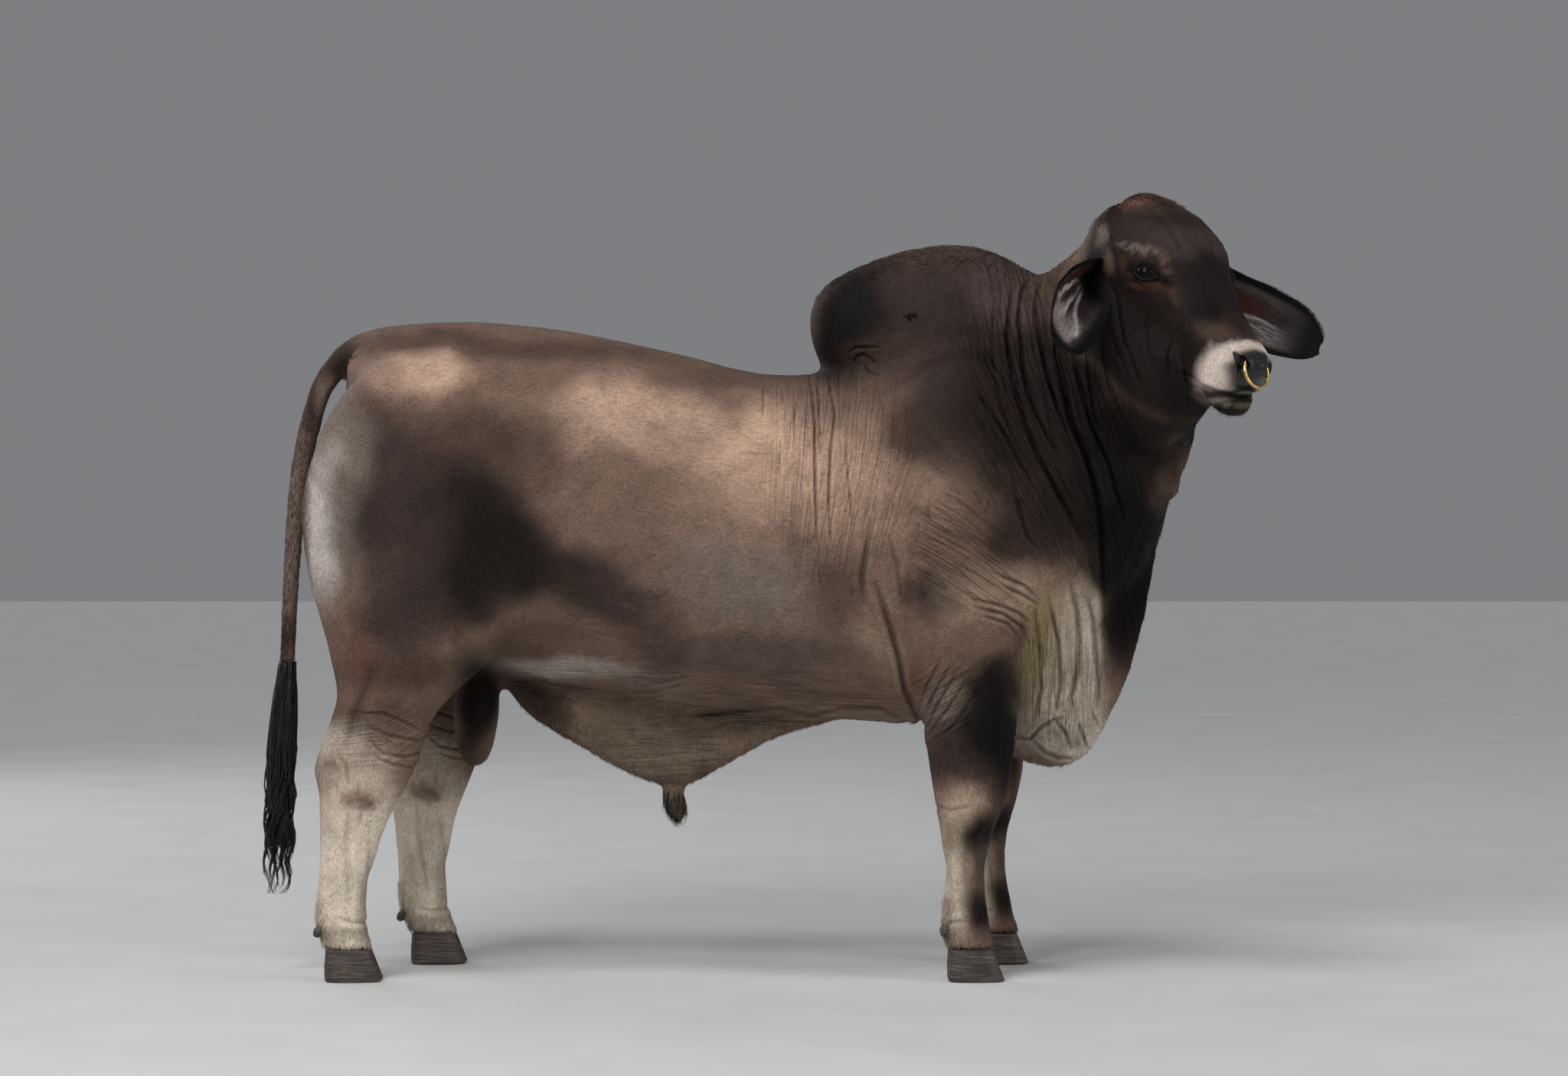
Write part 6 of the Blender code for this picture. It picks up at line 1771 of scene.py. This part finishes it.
@dataclass
class Ears:
    """The two long hanging ears, cupped like leaves."""

    body: Body
    along: int = 96
    across: int = 61
    thickness: float = 0.0045
    tries: int = 40000
    LOOKS = {
        Side.LEFT: EarLook((-0.06, 0.70), (0.30, 0.80), (-0.46, -0.08), ((0.13, 0.7), (0.36, 0.6)),
                           ((0.00, 0.0055), (0.26, 0.0036), (0.50, 0.0030)), (-0.5, 0.9), 0.26, 1.0),
        Side.RIGHT: EarLook((-0.55, 0.62), (0.50, 0.84), (-0.66, -0.40), ((-0.24, 0.9), (0.30, 0.9)),
                            ((-0.46, 0.0040), (0.06, 0.0060), (0.52, 0.0046)), (-0.20, 0.95), 0.34, 1.6),
    }

    def build(self) -> None:
        """Models and registers both ears."""
        finish = Coat().material()
        finish.name = "ear_coat"
        for side in Side:
            self._ear(side, finish)

    def _ear(self, side: Side, finish: Material) -> None:
        """One ear: a bent sheet with a thick rim and ribs inside.

        Args:
            side: Which ear.
            finish: The ear's material.
        """
        way = mirrored(EAR_WAY, side)
        face = Vector((math.cos(HEAD_PITCH), 0.0, math.sin(HEAD_PITCH)))
        face = (face - way * face.dot(way)).normalized()
        wide = way.cross(face)
        start = mirrored(EAR_PLACE, side) - way * 0.020
        shares = 1 - (1 - np.linspace(0.0, 1.0, self.along)) ** 1.35
        spans = np.linspace(-1.0, 1.0, self.across)
        length = EAR_LENGTH + 0.020
        body = np.interp(shares, (0, 0.10, 0.30, 0.52, 0.75, 1.0), (0.030, 0.044, 0.064, 0.071, 0.068, 0.056))
        widths = body * np.sqrt(np.maximum(0.0, 1 - np.clip((shares - 0.72) / 0.285, 0.0, 1.0) ** 2.2))
        curls = np.interp(shares, (0, 0.15, 0.35, 0.60, 1.0), (2.20, 1.85, 1.25, 0.90, 0.65))
        s, t = np.meshgrid(shares, spans, indexing="ij")
        edge = t * side.value
        wave = 1 + 0.020 * np.sin(26 * s + 2 * t) * np.abs(t) ** 3
        lower = np.maximum(0.0, edge) * np.sin(s * math.pi)
        fuller = 1 + (EAR_LOWER_EDGE[side.value] - 1) * lower
        radius = (widths * 1.25 / curls)[:, None] * 0.985 * wave * fuller
        bend = curls[:, None] * t
        sag = -0.030 * np.sin(s * math.pi) - 0.010 * s
        ribs = sum(rise * bell(edge, self._fan(spot, s), 0.055) for spot, rise in self.LOOKS[side].ridges)
        dip = 0.0025 * fade(s, 0.1, 0.2) * (1 - fade(s, 0.4, 0.6))
        ribs = ribs * fade(s, 0.10, 0.28) * (1 - fade(s, 0.62, 0.88)) - dip
        rise = radius + sag - (radius - ribs) * np.cos(bend)
        slide = (radius - ribs) * np.sin(bend)
        grid = (np.array(start) + s[..., None] * length * 0.994 * np.array(way)
                + rise[..., None] * np.array(face) + slide[..., None] * np.array(wide))
        points = grid.reshape(-1, 3)
        n = self.across
        faces = [(i * n + j, i * n + j + 1, (i + 1) * n + j + 1, (i + 1) * n + j)
                 for i in range(self.along - 1) for j in range(n - 1)]
        name = f"{side.name.lower()}_ear"
        ear = mesh_object(f"{name}_leaf", points, faces)
        paint(ear, "tone", self._colours(side, s.ravel(), edge.ravel()))
        paint(ear, "mask", np.tile((0.2, 0.0, 0.3), (len(points), 1)))
        ear.data.transform(self.body.head)
        inner = held(coordinates(ear))
        place_points(ear, inner)
        solidify = ear.modifiers.new("Solidify", "SOLIDIFY")
        solidify.thickness = self.thickness
        solidify.offset = -0.85 if side is Side.LEFT else 0.85
        apply_all(ear)
        with editing(ear):
            bpy.ops.mesh.remove_doubles(threshold=0.0002)
            bpy.ops.mesh.normals_make_consistent(inside=False)
        self._darken_back(ear, side, face)
        bevel = ear.modifiers.new("Bevel", "BEVEL")
        bevel.width = 0.0012
        bevel.segments = 2
        bevel.limit_method = "ANGLE"
        bevel.angle_limit = math.radians(50)
        apply_all(ear)
        self._hair(side, s, edge, inner, face, way)
        place_points(ear, held(coordinates(ear)))
        finish_piece(ear, finish)
        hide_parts(name)
        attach(ear, "root")

    @staticmethod
    def _fan(spot: float, s: Array) -> Array:
        """Where a ridge lies across the ear, fanning out from near the root."""
        return -0.05 + (spot + 0.05) * fade(s, 0.05, 0.75) * 1.15

    def _colours(self, side: Side, s: Array, edge: Array) -> Array:
        """The colours of an ear's inner side, by the share of its length and the place across it, with
        painted shade in the hollow and painted light on the pale hair.

        Args:
            side: Which ear.
            s: 0 at the root and 1 at the tip.
            edge: -1 at the upper edge and 1 at the lower edge.

        Returns:
            A colour for each place.
        """
        look = self.LOOKS[side]
        drift = 0.05 * np.sin(11 * s + 7 * edge) + 0.03 * np.sin(31 * s - 13 * edge)
        e = edge + drift
        colours = np.tile(tone(50, 43, 43), (len(s), 1))
        low, high = look.pale
        start, stop = look.pale_run
        pale = fade(e, low, low + 0.2) * (1 - fade(e, high - 0.1, high + 0.14))
        pale = pale * fade(s, start - 0.06, start + 0.10) * (1 - fade(s, stop - 0.08, stop + 0.06))
        colours = mixed(colours, tone(138, 128, 127), 0.85 * pale)
        upper = bell(e, -0.66, 0.12) * fade(s, 0.2, 0.4) * (1 - fade(s, 0.66, 0.86))
        colours = mixed(colours, tone(92, 80, 76), 0.6 * upper)
        low, high = look.rust
        rust = fade(e, low - 0.06, low + 0.06) * (1 - fade(e, high - 0.06, high + 0.08)) * fade(s, 0.14, 0.26)
        colours = mixed(colours, tone(66, 33, 25), 0.9 * rust * (1 - fade(s, 0.56, 0.76)))
        for spot, strength in look.valleys:
            valley = bell(e, self._fan(spot, s), 0.085) * fade(s, 0.20, 0.30)
            colours = mixed(colours, tone(54, 31, 25), strength * valley * (1 - fade(s, 0.52, 0.70)))
        for spot, _ in look.ridges:
            ridge = bell(e, self._fan(spot, s), 0.045) * fade(s, 0.26, 0.36)
            colours = mixed(colours, tone(190, 181, 178), 0.85 * ridge * (1 - fade(s, 0.60, 0.78)))
        streak = 0.5 + 0.5 * np.sin(edge * 46 + 5 * np.sin(9 * s) + 3 * np.sin(23 * s))
        # Painted light brightens the pale hair by the look's light share.
        colours = colours * ((1 - 0.34 * streak * pale) * (1 + (look.light - 1) * pale))[:, None]
        # Painted shade darkens the hollow at the ear's root, less over the ridge that runs through it.
        low, high = look.hollow
        hollow = fade(e, low - 0.15, low + 0.1) * (1 - fade(e, high - 0.12, high + 0.05))
        hollow = hollow * (1 - fade(s, look.hollow_end - 0.14, look.hollow_end + 0.05))
        tip = bell(e, self._fan(0.06, s), 0.05) * fade(s, 0.28, 0.36)
        colours = mixed(colours, Tone.BLACK * 0.5, hollow * (1 - 0.8 * tip))
        rim = np.maximum(fade(np.abs(edge), 0.74, 0.88), fade(s + 0.05 * drift, 0.82, 0.92))
        return mixed(colours, tone(12, 10, 12), 0.96 * rim * fade(s, 0.08, 0.2))

    def _hair(self, side: Side, s: Array, edge: Array, inner: Array, face: Vector, way: Vector) -> None:
        """The pale streaks of hair inside the ear and the short dark fringe of its rim.

        Args:
            side: Which ear.
            s: The grid's shares of the ear's length.
            edge: The grid's places across the ear.
            inner: The grid's points in the world.
            face: Which way the inner side looks, in the head's frame.
            way: Which way the ear points, in the head's frame.
        """
        rng = np.random.default_rng(SEED + 5 + side.value)
        shape = s.shape
        grid = inner.reshape(*shape, 3)
        turn = np.array(self.body.head.to_3x3())
        out, along = turn @ np.array(face), turn @ np.array(way)
        lengths, across = (run / np.maximum(np.linalg.norm(run, axis=2), 1e-9)[..., None]
                           for run in np.gradient(grid, axis=(0, 1)))
        normals = np.cross(lengths, across)
        normals *= np.sign(np.sum(normals * out, axis=2))[..., None]
        i = rng.integers(2, shape[0] - 2, self.tries)
        j = rng.integers(0, shape[1], self.tries)
        a, e = s[i, j], edge[i, j]
        inside = (np.abs(e) < 0.74) * fade(a, 0.16, 0.30) * (1 - fade(a, 0.74, 0.86))
        inside = inside * (0.25 + 0.75 * fade(e, -0.1, 0.15))
        rim = (np.abs(e) > 0.95) * fade(a, 0.12, 0.2) * 2.2
        chosen = rng.random(len(i)) < np.clip(0.16 * inside + 0.5 * rim, 0, 1)
        i, j = i[chosen], j[chosen]
        a, e = s[i, j], edge[i, j]
        rim = np.abs(e) > 0.95
        roots, ups = grid[i, j], normals[i, j]
        sweep = across[i, j] * (np.sign(e) * side.value * np.where(rim, 1.0, 0.16))[:, None]
        sweep += rng.normal(0, 0.10, (len(i), 3))
        ways = lengths[i, j] * np.where(rim, 0.8, 1.0)[:, None] + sweep + along * 0.15
        length = np.where(rim, rng.uniform(0.006, 0.011, len(i)), rng.uniform(0.012, 0.026, len(i)))
        colours = self._colours(side, a, e)
        colours = np.where(rim[:, None], tone(20, 17, 18), colours * 1.12 + 0.01)
        colours = colours * np.clip(rng.normal(1.0, 0.15, len(i)), 0.6, 1.4)[:, None]
        lift = np.where(rim, 0.0006, 0.0016)
        places = np.stack([0.03 + 0.94 * a, 0.03 + 0.94 * (e + 1) / 2], 1)
        widths = np.full(len(i), 0.0009)
        strands = Strands(roots, ups, ways, length, widths, lift, colours, places)
        grow_hair(f"{side.name.lower()}_ear_hair", strands, long=True)

    def _darken_back(self, ear: Object, side: Side, face: Vector) -> None:
        """Colours the back of the ear as the neck is."""
        facing = normals_of(ear) @ np.array(self.body.head.to_3x3() @ face)
        layer = ear.data.color_attributes["tone"]
        rgba = stored(layer.data, "color", 4, kind=np.float32)
        back = (1 - fade(facing, -0.25, 0.05))[:, None]
        root = Vector(self.body.head @ mirrored(EAR_PLACE, side))
        near = 1 - fade(np.linalg.norm(coordinates(ear) - np.array(root), axis=1), 0.07, 0.17)
        coat = Tone.HUMP + (tone(150, 128, 116) - Tone.HUMP) * (0.75 * near)[:, None]
        rgba[:, :3] += (coat.astype(np.float32) - rgba[:, :3]) * back
        layer.data.foreach_set("color", rgba.ravel())


@dataclass
class Hooves:
    """The claws and dewclaws of the four feet."""

    voxel: float = 0.0022
    triangles: int = 16000

    def build(self) -> None:
        """Models and registers each foot's horn."""
        finish = Horn().material()
        for leg in ("right_hind", "left_hind", "right_fore", "left_fore"):
            nodes = tuple(f"{leg}_{kind}_{which}" for kind in ("hoof", "dewclaw")
                          for which in ("outer", "inner"))
            horn = copy_nodes(f"{leg}_horn", nodes)
            remesh(horn, self.voxel)
            points = coordinates(horn)
            low, high = points[:, 2].min(), points[:, 2].max()
            points = relax(points, edges_of(horn), np.full(len(points), 0.8), 12, 0.6)
            place_points(horn, points)
            normals = normals_of(horn)
            x, y, z = points.T
            slope = z + 0.10 * x
            ring = 0.5 + 0.5 * np.sin(2 * math.pi * slope / 0.0085 + 2 * np.sin(30 * y + 14 * x))
            points = points - normals * (0.0004 + 0.0007 * ring * fade(z, 0.006, 0.014))[:, None]
            points[:, 2] = np.clip(points[:, 2], low, high)
            place_points(horn, points)
            thin_out(horn, self.triangles)
            finish_piece(horn, finish)
            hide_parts(*nodes)
            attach(horn, "root")


@dataclass
class NoseRing:
    """A round brass ring through the nose, with its hinge and screw."""

    body: Body

    def build(self) -> None:
        """Models and registers the ring."""
        inverse = self.body.head.inverted().to_3x3()
        ahead = Vector((math.cos(HEAD_YAW), math.sin(HEAD_YAW), 0.0))
        down = inverse @ (ahead * math.sin(RING_SWING) - Vector((0.0, 0.0, math.cos(RING_SWING))))
        across = Vector((0.0, 1.0, 0.0))
        turn = Matrix((across, down, across.cross(down))).transposed().to_4x4()
        place = self.body.head @ Matrix.Translation(RING_TOP + down * RING_RADIUS) @ turn
        deselect()
        bpy.ops.mesh.primitive_torus_add(major_radius=RING_RADIUS, minor_radius=RING_WIRE * 0.97,
                                         major_segments=128, minor_segments=20)
        ring = bpy.context.object
        points = coordinates(ring)
        turned = np.arctan2(points[:, 1], points[:, 0])
        middle = points.copy()
        middle[:, 2] = 0.0
        middle = middle / np.linalg.norm(middle, axis=1)[:, None] * RING_RADIUS
        pinch = np.zeros(len(points))
        for spot in (0.30, math.pi - 0.30):
            pinch = np.maximum(pinch, np.exp(-((np.angle(np.exp(1j * (turned - spot))) / 0.018) ** 2)))
        points = middle + (points - middle) * (1 - 0.16 * pinch)[:, None]
        place_points(ring, points)
        ring.name = "brass_ring"
        ring.data.transform(place)
        finish_piece(ring, Brass().material())
        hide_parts("nose_ring")
        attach(ring, "root")


@dataclass
class Switch:
    """The tail's switch: many fine waving locks that gather to points."""

    body: Body
    locks: int = 420
    rings: int = 18
    clumps: int = 16
    clump_turn: float = 2.399963
    CORE = ((0.760, -1.1715), (0.660, -1.1775), (0.580, -1.1830), (0.470, -1.1900), (0.340, -1.1940),
            (0.150, -1.2000))
    SPREAD = ((0.155, 0.012), (0.22, 0.030), (0.30, 0.038), (0.42, 0.037), (0.55, 0.034), (0.65, 0.028),
              (0.70, 0.021), (0.78, 0.017))

    def build(self) -> None:
        """Models and registers the switch."""
        rng = np.random.default_rng(SEED)
        low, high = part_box("tail_switch")
        shift = np.array(self.body.shift)
        core_z, core_x = np.array(self.CORE[::-1]).T
        spread_z, spread = np.array(self.SPREAD).T
        points, faces = [], []
        for i in range(self.locks):
            clump = i % self.clumps
            clump_rng = np.random.default_rng(100 + clump)
            clump_turn = clump * self.clump_turn
            clump_out = math.sqrt(clump_rng.uniform(0.05, 1.0))
            clump_end = 0.160 + clump_rng.uniform(0.0, 0.17) * (clump % 4 > 0)
            top = rng.uniform(0.60, 0.775) if i % 3 else rng.uniform(0.735, 0.775)
            end = min(clump_end + abs(rng.normal(0.0, 0.035)), top - 0.15)
            turn, out = rng.uniform(0, 2 * math.pi), math.sqrt(rng.uniform(0.3, 1.0))
            t = np.linspace(0.0, 1.0, self.rings)
            z = top + (end - top) * t
            wide = np.interp(z, spread_z, spread)
            gather = fade(t, 0.25, 1.0)
            ring_x = np.cos(turn) * out * (1 - gather) + np.cos(clump_turn) * clump_out * gather
            ring_y = np.sin(turn) * out * (1 - gather) + np.sin(clump_turn) * clump_out * gather
            wave_size = 0.0075 * fade(t, 0.15, 0.8)
            phase = clump_rng.uniform(0, 6.28) + rng.normal(0, 0.35)
            wave = np.sin(z * 62 + phase) * wave_size
            drift = np.cos(z * 47 + phase * 1.7) * wave_size
            x = np.interp(z, core_z, core_x) + ring_x * wide + wave
            y = ring_y * wide * 0.85 + drift
            path = np.stack([x, y, z], 1) + shift
            path[:, 0] = np.maximum(path[:, 0], low.x + 0.004)
            path[:, 1] = np.clip(path[:, 1], low.y + 0.003, high.y - 0.003)
            path[:, 2] = np.clip(path[:, 2], low.z + 0.001, high.z)
            thick = rng.uniform(0.0016, 0.0028) * (1 - 0.25 * t) * (1 - fade(t, 0.55, 1.0) * 0.9)
            base = len(points)
            spin = rng.uniform(0, 2)
            for k in range(self.rings):
                for j in range(3):
                    angle = spin + 2 * math.pi * j / 3
                    points.append(path[k] + thick[k] * np.array((math.cos(angle), math.sin(angle), 0.0)))
            for k in range(self.rings - 1):
                for j in range(3):
                    a, b = base + k * 3 + j, base + k * 3 + (j + 1) % 3
                    faces.append((a, a + 3, b + 3, b))
            faces.append((base, base + 1, base + 2))
            last = base + (self.rings - 1) * 3
            faces.append((last, last + 2, last + 1))
        switch = mesh_object("switch_locks", np.array(points), faces)
        with editing(switch):
            bpy.ops.mesh.normals_make_consistent(inside=False)
        finish_piece(switch, SwitchHair().material())
        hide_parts("tail_switch")
        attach(switch, "root")


@dataclass
class Studio:
    """A plain pale floor, soft lights and the photograph's camera."""

    body: Body

    def build(self) -> None:
        """Sets the stage."""
        scene = bpy.context.scene
        self._floor()
        self._world(scene)
        self._light("key", (-2.6, -5.4, 4.8), 3.2, 270.0, (1.0, 0.98, 0.95))
        self._sun((20.0, -14.0), 0.85, 18.0)
        self._light("front", (6.0, -3.0, 2.8), 3.0, 105.0, (1.0, 0.99, 0.97))
        self._light("rim", (-4.6, 4.6, 3.8), 4.0, 95.0, (0.94, 0.97, 1.0))
        scene.view_settings.view_transform = "Standard"
        data = bpy.data.cameras.new("camera")
        data.sensor_width = SENSOR
        data.lens = FOCAL_PIXELS * SENSOR / IMAGE_SIZE[0]
        camera = add_object("camera", data)
        camera.location = self.body.camera
        camera.rotation_euler = (math.radians(90) - self.body.tilt, 0.0, 0.0)
        scene.camera = camera

    @staticmethod
    def _floor() -> None:
        """A large pale floor with a faint grain."""
        deselect()
        bpy.ops.mesh.primitive_plane_add(size=60.0, location=(0, 0, -0.0005))
        floor = bpy.context.object
        floor.name = "floor"
        bpy.ops.object.transform_apply(location=True, rotation=True, scale=True)
        g = Graph("floor")
        cloud = g.noise(3.0, 4.0, 0.5)
        colour = g.grade(cloud, ((0.3, (0.60, 0.60, 0.59)), (0.7, (0.64, 0.64, 0.63))))
        floor.data.materials.append(g.dress(Base_Color=colour, Roughness=0.85, Specular_IOR_Level=0.2))

    @staticmethod
    def _world(scene: bpy.types.Scene) -> None:
        """A pale even surround."""
        world = bpy.data.worlds.new("studio")
        world.use_nodes = True
        background = world.node_tree.nodes["Background"]
        background.inputs["Color"].default_value = (0.86, 0.88, 0.92, 1.0)
        background.inputs["Strength"].default_value = 0.24
        scene.world = world

    @staticmethod
    def _sun(turn: tuple, power: float, spread: float) -> None:
        """The wide soft light of an even sky: how it leans in degrees, its strength and how wide it is."""
        data = bpy.data.lights.new("sky", "SUN")
        data.energy = power
        data.angle = math.radians(spread)
        data.color = (0.96, 0.98, 1.0)
        light = add_object("sky", data)
        light.rotation_euler = (math.radians(turn[0]), math.radians(turn[1]), 0.0)

    @staticmethod
    def _light(name: str, place: tuple, size: float, power: float, colour: tuple) -> None:
        """One soft area light that faces the bull.

        Args:
            name: The light's name.
            place: Where it stands.
            size: Its side, in metres.
            power: Its power, in watts.
            colour: Its colour.
        """
        data = bpy.data.lights.new(name, "AREA")
        data.size = size
        data.energy = power
        data.color = colour
        light = add_object(name, data)
        light.location = place
        light.rotation_euler = (Vector((0.0, 0.0, 0.9)) - Vector(place)).to_track_quat("-Z", "Y").to_euler()


def main() -> None:
    """Builds the bull and its stage."""
    logging.basicConfig(level=logging.INFO, format="%(message)s")
    body = Body()
    markings = Markings(body)
    Studio(body).build()
    hide = Hide(body, markings).build()
    Tufts(body, markings, hide).build()
    Eyes(body).build()
    Ears(body).build()
    Hooves().build()
    NoseRing(body).build()
    Switch(body).build()


if __name__ == "__main__":
    main()
